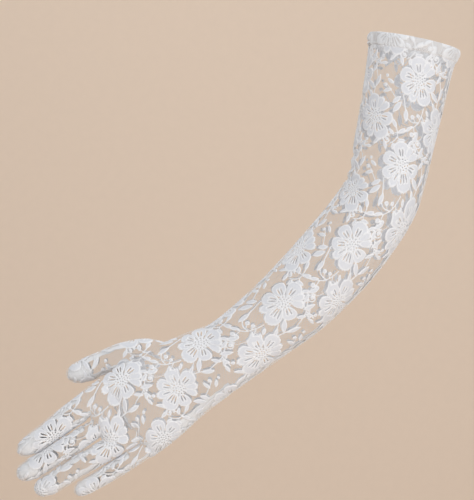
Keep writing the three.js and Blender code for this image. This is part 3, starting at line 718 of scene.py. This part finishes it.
def finish(name, light, painted_shade_colour, spacing, turn, bump, sheen=0.25, tint=None):
    """White thread cloth; colour runs from a painted shade between the rows, mixed with random mottle,
    to light on top of them, times a tint where the distance inside the motif passes from the first to the
    second of its limits."""
    made, tree, shader = new_material(name)
    links = tree.links
    flat = add_node(tree, "UVMap", {}, uv_map="flat cloth")
    values = {"Spacing": spacing, "Turn": turn, "Unevenness": 0.3}
    rows = add_node(tree, "Group", values, node_tree=ROWS_OF_THREAD)
    links.new(flat.outputs[0], rows.inputs["Flat cloth"])
    # painted shade: the base colour turns greyer between the rows of thread, with random mottle
    tone = add_node(tree, "Mix", {"A": (*painted_shade_colour, 1), "B": (*light, 1)}, data_type="RGBA")
    links.new(rows.outputs["Painted shade and mottle"], tone.inputs["Factor"])
    rough = add_node(tree, "MapRange", {"To Min": ROUGHNESS + ROUGHER, "To Max": ROUGHNESS})
    links.new(rows.outputs["Painted shade and mottle"], rough.inputs["Value"])
    relief = add_node(tree, "Bump", {"Strength": bump, "Distance": spacing * RELIEF})
    links.new(rows.outputs["Height"], relief.inputs["Height"])
    colour = tone.outputs["Result"]
    if tint:
        inside = add_node(tree, "Attribute", {}, attribute_name="inside")
        passed = add_node(tree, "MapRange", {"From Min": tint[1], "From Max": tint[2]})
        links.new(inside.outputs["Fac"], passed.inputs["Value"])
        tinted = add_node(tree, "Mix", {"B": (*tint[0], 1)}, data_type="RGBA", blend_type="MULTIPLY")
        links.new(colour, tinted.inputs["A"])
        links.new(passed.outputs["Result"], tinted.inputs["Factor"])
        colour = tinted.outputs["Result"]
        step = add_node(tree, "Bump", {"Strength": 0.5, "Distance": STEP_DOWN}, invert=True)
        links.new(passed.outputs["Result"], step.inputs["Height"])
        links.new(step.outputs["Normal"], relief.inputs["Normal"])
    links.new(colour, shader.inputs["Base Color"])
    links.new(rough.outputs["Result"], shader.inputs["Roughness"])
    links.new(relief.outputs["Normal"], shader.inputs["Normal"])
    for key, value in (("Sheen Weight", sheen), ("Sheen Roughness", 0.4), ("Specular IOR Level", 0.25)):
        shader.inputs[key].default_value = value
    return made


print("roughness from", ROUGHNESS, "to", ROUGHNESS + ROUGHER)

# %% [markdown]
# The colours are read from the photo: white with a touch of blue on the crowns of the thread and
# light grey between them, which is painted shade of the hollows with random mottle. The net is the greyest,
# since most of it is gap.

# %% The five finishes
INNER = ((0.86, 0.87, 0.895), 0.6, 1.3)  # a tint, and the mm inside the motif where it starts and is full
OPEN = ((0.84, 0.815, 0.795), 0.25, -0.25)
WHITE = (0.94, 0.945, 0.955)
# the second colour of each finish is the painted shade between the rows of thread
MOTIF = finish("lace motif", (0.96, 0.96, 0.97), (0.82, 0.825, 0.85), 0.00045, 0.7, 0.55, tint=INNER)
NET = finish("lace net", (0.80, 0.80, 0.81), (0.66, 0.665, 0.68), 0.00030, 0.2, 0.3, sheen=0.15)
ALLOWANCE = finish("seam allowance", (0.96, 0.96, 0.965), (0.84, 0.845, 0.855), 0.00060, 1.3, 0.5)
HEM = finish("turned hem", WHITE, (0.78, 0.79, 0.82), 0.00070, 0.1, 0.6, tint=OPEN)
THREAD = finish("sewing thread", (0.95, 0.955, 0.96), (0.84, 0.85, 0.87), 0.00025, 0.9, 0.3, sheen=0.35)
print("finishes:", [made.name for made in (MOTIF, NET, ALLOWANCE, HEM, THREAD)])

# %% [markdown]
# ## Panels of lace
# The cloth is thickest in the middle of a petal or leaf, and a slightly raised cord follows the
# edge of each. Its edge comes down to the net, which lies just under it. Back and palm are cut at
# once from lace that is folded double, so their flowers lie one behind the other. The lace of a
# panel starts under the hem, and the sleeve's mesh ends above the wrist, where the hand's starts.

# %% Lace of one limb
NET_LEVEL = -0.35  # the net lies this far below the outer face of the worn glove, mm
LACE_STARTS = 7.0  # where the sleeve's lace starts under the hem, mm along the arm
HAND_STARTS = 300.0  # where the sleeve is handed on to the hand, mm along the arm
SEAM_END = 0.05  # the lace stops this far short of the very tip, mm


def lace_field(name, cloth, across, chart=chart, shift=(0, 0)):
    """Distance inside the motif at a place on the cloth of a limb, or on cloth shifted over it."""
    down, beside = on_chart(name, cloth, across)
    return lace_at(down + shift[0], beside + shift[1], chart)


def motif_height(inside):
    """Crown of the filled thread, 0.5 (1 - e^(-x / 0.5)), with a cord of 0.16 at x = 0.55."""
    inside = np.maximum(inside, 0)
    crown = 0.5 * (1 - np.exp(-inside / 0.5))
    cord = 0.16 * np.exp(-(((inside - 0.55) / 0.3) ** 2)) * (inside > 0.05)
    return NET_LEVEL + crown + cord


def limb_lace(name, side, start):
    """Points in space, triangles and flat points of the motif on one half of a limb."""
    one = LIMBS[name]
    flat, triangles = flat_grid(start, one["cloth"], widest[name], STEP)
    to_seam = half_edge(one, flat[:, 0]) - np.abs(flat[:, 1])
    flat, triangles = cut(flat, triangles, np.minimum(to_seam, one["cloth"] - SEAM_END - flat[:, 0]))
    flat, triangles = cut(flat, triangles, lace_field(name, *flat.T))
    flat, triangles = cut(flat, triangles, outside_others(name, worn(one, side, *flat.T) / MM))
    points = worn(one, side, *flat.T, motif_height(lace_field(name, *flat.T)))
    if side < 0:
        triangles = triangles[:, ::-1]
    return points, triangles, flat


print("height of the motif at its edge and in its middle:", motif_height(np.array([0.0, 3.0])), "mm")

# %% [markdown]
# The panel of a real glove is cut in one, from opening to fingertips. Here each limb of it is
# made by itself and stopped where the next one begins, and then sleeve and hand are put together
# from them. The flat cloth of every limb is its place on the chart.

# %% Sleeves and hands of lace
PANELS = {"back": -1, "palm": 1}


def chart_uv(name, flat):
    """Place on the chart in metres, used as the flat cloth map."""
    return np.stack(on_chart(name, *flat.T), axis=1) * MM


def only(points, triangles, flat, wanted):
    """The triangles wanted, with the points they use."""
    used, kept = np.unique(triangles[wanted], return_inverse=True)
    return points[used], kept.reshape(-1, 3), flat[used]


def on_panel(make, side):
    """Sleeve and hand of a panel, whose limbs are made one by one: the arm's cloth is handed on where
    the hand starts, and the fingers join the hand."""
    names = ("arm", "knuckles", *FINGERS)
    limbs = [make(name, side, LACE_STARTS if name == "arm" else 0.0) for name in names]
    in_hand = limbs[0][2][limbs[0][1], 0].mean(axis=1) > HAND_STARTS
    arm, *rest = [(points, faces, chart_uv(name, flat)) for name, (points, faces, flat) in zip(names, limbs)]
    return {"sleeve": only(*arm, ~in_hand), "hand": joined([only(*arm, in_hand), *rest])}


made_pieces = {}
for panel, side in PANELS.items():
    for part, (points, triangles, flat) in on_panel(limb_lace, side).items():
        name = f"{panel}_{part}_lace"
        made_pieces[name] = piece(name, points, triangles, MOTIF, flat)
        keep_inside(made_pieces[name], lace_at(*flat.T / MM))

# %% [markdown]
# ## Net
# Between the motifs runs a fine six-sided net. Every strand is a narrow ribbon between two knots.
# Strands are laid out flat over the whole panel, and only those in the open places and just
# under the edge of the motif are kept. The slots in the petals have no net behind them.

# %% Net of the four panels
MESH_WIDTH = 1.55  # from side to side of one six-sided mesh, mm
STRAND = 0.14  # width of a strand, mm
UNDER_MOTIF = 0.35  # the net is kept this far under the edge of the motif, mm


def strands(length, half_width):
    """Start and end of each strand of a honeycomb: three from every second knot."""
    i, j = cells(int(length / MESH_WIDTH) + 6, int(2 * half_width / (MESH_WIDTH * 0.866)) + 6)
    i, j = i - 2, j - 2
    knot = np.stack([(i + (j % 2) / 2) * MESH_WIDTH, j * MESH_WIDTH * np.sqrt(3) / 2 - half_width], axis=1)
    side = MESH_WIDTH / np.sqrt(3)
    ways = side * np.array([(0, 1), (-np.sqrt(3) / 2, -0.5), (np.sqrt(3) / 2, -0.5)])
    return np.repeat(knot, 3, axis=0), (knot[:, None] + ways[None]).reshape(-1, 2)


def limb_net(name, side, start):
    """Ribbons of net on one half of a limb: four points and two triangles to a strand."""
    one = LIMBS[name]
    a, b = strands(one["cloth"] - start, widest[name])
    a, b = a + (start, 0), b + (start, 0)
    middle = (a + b) / 2
    on_cloth = np.minimum.reduce([half_edge(one, p[:, 0]) - np.abs(p[:, 1]) for p in (a, b)])
    on_cloth = np.minimum(on_cloth, one["cloth"] - np.maximum(a[:, 0], b[:, 0]))
    open_place = UNDER_MOTIF - lace_field(name, *middle.T, filled_chart)
    keep = np.flatnonzero((on_cloth > 0) & (open_place > 0) & (middle[:, 0] > start))
    clear = outside_others(name, worn(one, side, *middle[keep].T) / MM)
    a, b = a[keep[clear > 0]], b[keep[clear > 0]]
    run = (b - a) / np.linalg.norm(b - a, axis=1, keepdims=True)
    across = np.stack([-run[:, 1], run[:, 0]], axis=1) * STRAND / 2
    a, b = a - run * STRAND * 0.3, b + run * STRAND * 0.3
    flat = np.stack([a - across, a + across, b + across, b - across], axis=1).reshape(-1, 2)
    first = 4 * np.arange(len(a))[:, None]
    faces = np.concatenate([first + (0, 3, 2), first + (0, 2, 1)])
    if side < 0:
        faces = faces[:, ::-1]
    return worn(one, side, *flat.T, NET_LEVEL - 0.05), faces, flat


for panel, side in PANELS.items():
    for part, (points, faces, flat) in on_panel(limb_net, side).items():
        name = f"{panel}_{part}_net"
        made_pieces[name] = piece(name, points, faces, NET, flat, smooth=False)

# %% [markdown]
# ## Seam allowances
# Inside every seam two cut edges of lace lie against the panels. They show through the net as a
# denser white band along each side of the fingers and the sleeve, and they fill the fingertips.
# They are strips of the same lace, folded back, so another part of the pattern lies there. Two
# layers of net and motif look like whole cloth, and the strip is open only far from any motif.
# Along the edge of the hand and in the fingers it is fullest, and the last strip joins the two.

# %% Strips inside the seams
ALLOWANCE_LEVEL = -0.9  # height above the outer face of the worn glove, mm
ALLOWANCE_GRID = 0.8  # side of a grid cell, mm
TIP_FILL = 6.0  # how far before the rounded tip the allowance covers the whole finger, mm
HAND_EDGE = 330  # from here on the outer allowance is wider, mm along the arm
FOLDED_BACK = (21, 17)  # down and across the chart to the part that is folded back into an allowance, mm
GAP = 0.2  # from an allowance to the other limbs, mm


def limb_allowance(name, side, low, high, width, edges, tip, fill):
    """Strip of cloth beside the seams, as far in as width with an uneven cut edge, open only where
    the lace is further than fill from any motif."""
    one = LIMBS[name]
    flat, triangles = flat_grid(low, min(high, one["cloth"]), widest[name], ALLOWANCE_GRID)
    cloth, across = flat.T
    limit = half_edge(one, cloth)
    ragged = width + 0.8 * np.sin(cloth / 5.3 + 2 * side) + 0.4 * np.sin(cloth / 1.7)
    strip = np.maximum.reduce([np.abs(across) * (across * e > 0) - limit + ragged for e in edges])
    if tip:
        strip = np.maximum(strip, cloth - one["tip_start"] + TIP_FILL + 1.5 * np.sin(across / 2))
    before_end = min(high, one["cloth"] - SEAM_END) - cloth
    inside = np.minimum.reduce([strip, limit - np.abs(across), cloth - low, before_end])
    flat, triangles = cut(flat, triangles, inside)
    flat, triangles = cut(flat, triangles, fill + lace_field(name, *flat.T, shift=FOLDED_BACK))
    flat, triangles = cut(flat, triangles, outside_others(name, worn(one, side, *flat.T) / MM) - GAP)
    if side < 0:
        triangles = triangles[:, ::-1]
    return worn(one, side, *flat.T, ALLOWANCE_LEVEL), triangles, chart_uv(name, flat)


print("the lace of an allowance lies", FOLDED_BACK, "mm further on in the chart")

# %% [markdown]
# The sleeve's allowance is narrower at its inner seam than at its outer one, which runs on along
# the edge of the hand. A finger has one strip, down both of its sides and across the tip.

# %% The seven strips
STRIPS = [  # piece, limb, start, end, width, sides, whether it fills the tip, fill
    ("inner_arm_seam", "arm", 10, HAND_EDGE, 9.5, (-1,), False, 2.2),
    ("outer_arm_seam", "arm", 10, HAND_EDGE, 11.0, (1,), False, 3.0),
    ("outer_arm_seam", "arm", HAND_EDGE, 470, 15.0, (1,), False, 6.0),
]
for name in FINGERS:
    start = LIMBS[name]["length"] - SEAM_LENGTHS[name]
    STRIPS.append((f"{name}_seam", name, start, LIMBS[name]["cloth"], 8.6, (-1, 1), True, 6.0))
STRIPS.append(("little_finger_seam", "little_finger", 2, 16, 6.0, (1,), False, 6.0))
for name in dict.fromkeys(row[0] for row in STRIPS):
    rows = [row[1:] for row in STRIPS if row[0] == name]
    halves = [limb_allowance(limb_name, side, *rest) for limb_name, *rest in rows for side in (-1, 1)]
    points, faces, flat = joined(halves)
    made_pieces[f"{name}_strip"] = piece(f"{name}_strip", points, faces, ALLOWANCE, flat)

# %% [markdown]
# ## Hem
# At the opening the lace is turned in over narrow elastic and sewn down. The elastic gathers
# it into small puckers, and the fold stands a little proud of the sleeve. The lace's own relief
# still shows in the turned layers.

# %% Section and puckers of the hem
HEM_LOOP = np.array([  # along the sleeve, height above the cloth, once round the turned hem
    (0.0, -0.8), (0.1, -0.2), (0.6, 0.4), (1.8, 0.9), (3.8, 1.3), (5.8, 1.3), (8.0, 1.0), (9.8, 0.6),
    (10.8, 0.2), (11.0, -0.3), (10.8, -1.1), (9.0, -1.5), (5.0, -1.6), (2.0, -1.6), (0.5, -1.4), (0.1, -1.2),
])
ROUND, PROFILE = 560, 64  # how many steps round the opening and round the hem's section
HEM_RELIEF = 0.55  # height of the lace's relief in the hem, mm
GIRTH = 38  # mean radius of the hem, mm, for its flat cloth


def hem_puckers(along, turn):
    """Uneven waves round the hem, deeper at its sewn lower edge than at its fold."""
    fine = np.sin(44 * turn + 1.7 * np.sin(7 * turn)) * (0.5 + 0.5 * np.sin(3 * turn + 1))
    broad = np.sin(13 * turn + 2.1 * np.sin(2 * turn))
    askew = 0.2 * np.sin(9 * turn + along / 2.5)
    return (0.16 * fine + 0.3 * broad) * (0.4 + 0.6 * along / HEM_DEPTH) + askew


def point_at(distance, length, line):
    """Points of a line at some distances along it, straight between its own points."""
    return np.stack([np.interp(distance, length, column) for column in line.T], axis=1)


def round_sleeve(along, turn, height):
    """Points in mm at a height above the sleeve's oval, and the direction to its outer seam."""
    middle, _, outward, half_width, half_depth = section(LIMBS["arm"], along)
    points = middle + outward * ((half_width + height) * np.cos(turn))[:, None]
    points[:, 1] = (half_depth + height) * np.sin(turn)
    return points, outward


waves = hem_puckers(HEM_DEPTH, np.linspace(0, 2 * np.pi, 400))
print("puckers at the hem's lower edge:", waves.min().round(2), "to", waves.max().round(2), "mm")

# %% [markdown]
# The section of the hem is swept round the opening. Its outer face takes its relief from the
# chart, where the sleeve's own lace lies, so that the flowers run on into the hem.

# %% Sweep the hem
closed = np.vstack([HEM_LOOP, HEM_LOOP[:1]])
length = walked(closed)
loop_at = np.arange(PROFILE) / PROFILE * length[-1]
loop = point_at(loop_at, length, closed)
along, height = np.tile(loop, (ROUND, 1)).T
turn = np.repeat(2 * np.pi * np.arange(ROUND) / ROUND, PROFILE)
*_, half_width, half_depth = section(LIMBS["arm"], along)
from_middle = np.arcsin(np.clip(np.abs(np.cos(turn)), 0, 1))
edge = np.sign(np.cos(turn)) * oval_edge(from_middle, half_width, half_depth)
outer_face = np.clip(height + 0.6, 0, 1)
lace = lace_at(*on_chart("arm", along, edge))
grown = height + hem_puckers(along, turn) + HEM_RELIEF * np.clip(lace / 0.8, -0.9, 1) * outer_face
points, _ = round_sleeve(along, turn, grown)
i, j = cells(ROUND, PROFILE)
ring, next_ring, next_j = i * PROFILE, (i + 1) % ROUND * PROFILE, (j + 1) % PROFILE
faces = np.stack([ring + j, next_ring + j, next_ring + next_j, ring + next_j], axis=1)
flat = np.stack([np.tile(loop_at, ROUND), turn * GIRTH], axis=1) * MM
made_pieces["hem"] = piece("hem", points * MM, faces, HEM, flat)
keep_inside(made_pieces["hem"], lace)

# %% [markdown]
# ## Sewing
# The two panels are joined by an overlock thread that winds round their edges, and the hem is
# held down by a zigzag row. Each is one thread: a thin tube that follows its path with a ring
# of five points at every step. A seam's thread is kept where it lies outside the other limbs.

# %% Tubes of thread
SIDES = 5  # points in a ring


def tube(path, radius, normals):
    """Rings around a path: p + r (cos a n + sin a b), n across the path and b across both."""
    run = np.gradient(path, axis=0)
    run /= np.linalg.norm(run, axis=1, keepdims=True)
    across = normals - (normals * run).sum(axis=1, keepdims=True) * run
    across /= np.linalg.norm(across, axis=1, keepdims=True)
    beside = np.cross(run, across)
    angle = 2 * np.pi * np.arange(SIDES) / SIDES
    c, s = np.cos(angle)[:, None], np.sin(angle)[:, None]
    rings = path[:, None] + radius * (c * across[:, None] + s * beside[:, None])
    i, j = cells(len(path) - 1, SIDES)
    k = (j + 1) % SIDES
    a, b = i * SIDES, (i + 1) * SIDES
    faces = np.stack([a + j, a + k, b + k, b + j], axis=1)
    flat = np.stack([np.repeat(walked(path), SIDES), np.tile(angle * radius, len(path))], axis=1)
    return rings.reshape(-1, 3), faces, flat


rings, _, _ = tube(np.array([(0.0, 0, 0), (1, 0, 0), (2, 0, 0)]), 0.5, np.array([(0.0, 0, 1)] * 3))
print("a tube through three places has", len(rings), "points")

# %% [markdown]
# An overlock machine wraps its thread round the two edges while it trims them. The thread of the
# sleeve is two windings, one down each seam, and that of a finger goes over its tip.

# %% Overlock thread
PITCH, WRAP, SEAM_THREAD = 2.4, 0.42, 0.17  # length of a turn, radius of the turns and of the thread, mm
WALK = 0.3  # step along a seam, mm
ARM_SEAM_ENDS = 423  # mm along the arm


def longest_run(wanted):
    """First and last place of the longest unbroken run."""
    edges = np.flatnonzero(np.diff(np.concatenate([[0], wanted.astype(int), [0]])))
    starts, ends = edges[::2], edges[1::2]
    best = (ends - starts).argmax()
    return starts[best], ends[best]


def seam_thread(name, paths):
    """Overlock thread: WRAP (cos a out + sin a y) round the seam line, one turn to each PITCH. The
    line is one path after another, each a side of the limb and the distances along its cloth."""
    one = LIMBS[name]
    lines, outs = [], []
    for sign, cloth in paths:
        limit = half_edge(one, cloth)
        seam = (worn(one, -1, cloth, sign * limit) + worn(one, 1, cloth, sign * limit)) / 2 / MM
        along, _, lean = around_tip(one, cloth)
        _, forward, outward, _, _ = section(one, along)
        lines.append(seam)
        outs.append(sign * outward * np.cos(lean)[:, None] + forward * np.sin(lean)[:, None])
    line, out = np.concatenate(lines), np.concatenate(outs)
    first, last = longest_run(outside_others(name, line) > -0.1)
    line, out = line[first:last], out[first:last]
    length = walked(line)
    even = np.arange(0, length[-1], PITCH / 9)
    line, out = point_at(even, length, line), point_at(even, length, out)
    angle = 2 * np.pi * even / PITCH
    radial = out * np.cos(angle)[:, None] + np.array([0, 1, 0]) * np.sin(angle)[:, None]
    return tube((line + WRAP * radial) * MM, SEAM_THREAD * MM, radial)


def over_tip(name):
    """Paths up one side of a finger and down the other, from 1 mm along its cloth."""
    back = np.arange(LIMBS[name]["cloth"] - WALK, 1, -WALK)
    return [(-1, back[::-1]), (1, back)]


down_arm = np.arange(HEM_DEPTH, ARM_SEAM_ENDS, WALK)
THREADS = {
    "arm_seam_thread": [seam_thread("arm", [(side, down_arm)]) for side in (-1, 1)],
    "finger_seam_thread": [seam_thread(name, over_tip(name)) for name in FINGERS],
}
for name, parts in THREADS.items():
    points, faces, flat = joined(parts)
    made_pieces[name] = piece(name, points, faces, THREAD, flat)

# %% [markdown]
# The zigzag row sits just above the lower edge of the hem. It stays stretchable, which is why
# a zigzag and not a straight seam holds elastic.

# %% Hem stitches
ZIGZAGS, STEPS = 110, 6  # how many round the hem, and the steps of each
ROW, SWING = 8.4, 1.5  # upper edge of the row and how far it swings, mm along the arm
HEM_THREAD = 0.2  # radius, mm
at = np.arange(ZIGZAGS * STEPS + 1) / STEPS
turn = 2 * np.pi * at / ZIGZAGS
along = ROW + SWING * np.abs(at % 1 * 2 - 1)
proud = np.interp(along, HEM_LOOP[3:9, 0], HEM_LOOP[3:9, 1]) + hem_puckers(along, turn) + 0.3
path, outward = round_sleeve(along, turn, proud)
normal = outward * np.cos(turn)[:, None] + np.array([0, 1, 0]) * np.sin(turn)[:, None]
points, faces, flat = tube(path * MM, HEM_THREAD * MM, normal)
made_pieces["hem_stitches"] = piece("hem_stitches", points, faces, THREAD, flat)

# %% [markdown]
# ## What each piece stands for
# Every piece takes the place of a plain node of the frame and moves
# with the one body. Thread and stitches have no plain node of their own.

# %% Nodes and slots
NODE_OF = {"hem": ["hem_band"], "hem_stitches": [], "arm_seam_thread": [], "finger_seam_thread": []}
for name in made_pieces:
    if name.startswith(("back_", "palm_")):
        NODE_OF[name] = [f"{name.split('_')[0]}_panel"]
    elif name.endswith("_strip"):
        NODE_OF[name] = [name.removesuffix("_strip")]
for name, made in made_pieces.items():
    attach(made, "root")
    if NODE_OF[name]:
        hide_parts(*NODE_OF[name])
print(len(made_pieces), "pieces stand for", sorted({node for nodes in NODE_OF.values() for node in nodes}))

# %% [markdown]
# The flat size of a sheet of lace is that of the cut it comes from: twice the longest way from
# the middle of a panel to its seam, and the cloth along the middle. Its area is what is left of
# the flat cloth once the open net is taken away.

# %% Sheets
def flat_area(made):
    """Square metres that a piece's triangles cover on the flat cloth, half the cross product of two sides."""
    corners = np.empty(2 * len(made.data.loops), dtype=np.float32)
    made.data.uv_layers["flat cloth"].data.foreach_get("uv", corners)
    first, second, third = corners.reshape(-1, 3, 2).swapaxes(0, 1)
    side, other = second - first, third - first
    return float(np.abs(side[:, 0] * other[:, 1] - side[:, 1] * other[:, 0]).sum() / 2)


CUTS = {  # width and length of the flat cut, m
    "back_sleeve_lace": (0.122, 0.300), "palm_sleeve_lace": (0.122, 0.300),
    "back_hand_lace": (0.125, 0.220), "palm_hand_lace": (0.125, 0.220),
}
SEWN_ON = {  # hem, allowances and threads listed beside the back panel; the list is gathered below and not used
    "back_sleeve_lace": (
        "hem", "hem_stitches", "inner_arm_seam_strip", "outer_arm_seam_strip", "arm_seam_thread",
    ),
    "back_hand_lace": (*(f"{name}_seam_strip" for name in FINGERS), "finger_seam_thread"),
}
for name, cut_size in CUTS.items():
    beside = [made_pieces[name.replace("lace", "net")]]
    beside += [made_pieces[other] for other in SEWN_ON.get(name, ())]
    area = flat_area(made_pieces[name])
    print(f"{name}: cut {cut_size[0] * 1000:.0f} x {cut_size[1] * 1000:.0f} mm, motif {area * 1e6:.0f} mm2")

# %% [markdown]
# ## Backdrop
# The worn glove stands on nothing. A sweep of paper hangs well behind it and runs out into a floor
# far below, so that it is lit evenly and every lamp stands clear of it. White lace needs a
# backdrop a little darker than itself, and a warm one gives the openings a warm tone.

# %% Sweep of paper
HALF_WIDTH, FLOOR, BACK, BEND = 3.0, -1.8, 2.5, 0.8  # metres
FRONT, TOP = -3.0, 2.6
t = np.linspace(0, np.pi / 2, 24)
bend = np.stack([BACK - BEND + BEND * np.sin(t), FLOOR + BEND - BEND * np.cos(t)], axis=1)
profile = np.concatenate([[(FRONT, FLOOR)], bend, [(BACK, TOP)]])
sides = np.tile([-HALF_WIDTH, HALF_WIDTH], len(profile))
points = np.column_stack([sides, np.repeat(profile, 2, axis=0)])
i = np.arange(len(profile) - 1) * 2
faces = np.stack([i, i + 1, i + 3, i + 2], axis=1)
PAPER, tree, paper = new_material("pale paper")
paper.inputs["Roughness"].default_value = 0.9
grain = add_node(tree, "TexNoise", {"Scale": 60})
place = add_node(tree, "TexCoord", {})
pale = {"A": (0.80, 0.655, 0.53, 1), "B": (0.83, 0.68, 0.55, 1)}
tone = add_node(tree, "Mix", pale, data_type="RGBA")
tree.links.new(place.outputs["Object"], grain.inputs["Vector"])
tree.links.new(grain.outputs["Fac"], tone.inputs["Factor"])
tree.links.new(tone.outputs["Result"], paper.inputs["Base Color"])
sweep = piece("sweep", points, faces, PAPER)

# %% [markdown]
# ## Camera and light
# The camera stands about two metres off and level with the middle of the picture, which is what
# the slight arch of the hem's edges shows. The picture is 420 mm high where the glove is.

# %% Camera
AWAY, PICTURE, FILM = 1.95, 0.42, 24  # distance and height of the picture in metres, film in mm
camera = bpy.data.objects.new("camera", bpy.data.cameras.new("camera"))
camera.location = (-0.1492, -AWAY, -0.1751)
camera.rotation_euler = (np.pi / 2, 0, 0)
camera.data.sensor_fit = "VERTICAL"
camera.data.sensor_height = FILM
camera.data.lens = FILM * AWAY / PICTURE
bpy.context.scene.collection.objects.link(camera)
bpy.context.scene.camera = camera
print("lens of", round(camera.data.lens, 1), "mm")

# %% [markdown]
# Two large soft lamps stand before the glove, a high one on the thumb's side and a low one on the
# other, with weaker ones above, behind and for the paper. The shadows in the lace stay pale.

# %% Lights
def lamp(name, place, aim, size, power):
    """Soft square light that faces a point."""
    data = bpy.data.lights.new(name, "AREA")
    data.size, data.energy = size, power
    made = bpy.data.objects.new(name, data)
    made.location = place
    made.visible_camera = False
    away = np.array(place, float) - np.array(aim, float)
    tilt = np.arctan2(np.hypot(away[0], away[1]), away[2])
    made.rotation_euler = (tilt, 0, np.arctan2(away[0], -away[1]))
    bpy.context.scene.collection.objects.link(made)
    print(f"lamp {name}: {size} m wide, {power} W")


AIM, PAPER_AIM = (-0.15, 0, -0.18), (-0.15, BACK, -0.3)
LAMPS = [  # name, place, aim, size, power
    ("key", (-0.8, -2.0, 0.6), AIM, 1.0, 21), ("fill", (1.5, -1.3, -0.7), AIM, 1.6, 20),
    ("top", (0.2, 0.2, 1.7), AIM, 1.0, 9), ("back", (1.3, 1.5, 0.6), AIM, 1.2, 11),
    ("paper", (-0.15, 1.1, 1.6), PAPER_AIM, 1.6, 9),
]
for row in LAMPS:
    lamp(*row)
world = bpy.data.worlds.new("soft room")
world.use_nodes = True
background = world.node_tree.nodes["Background"]
background.inputs["Color"].default_value = (0.95, 0.97, 1.0, 1)
background.inputs["Strength"].default_value = 0.40
bpy.context.scene.world = world
bpy.context.scene.view_settings.view_transform = "Standard"
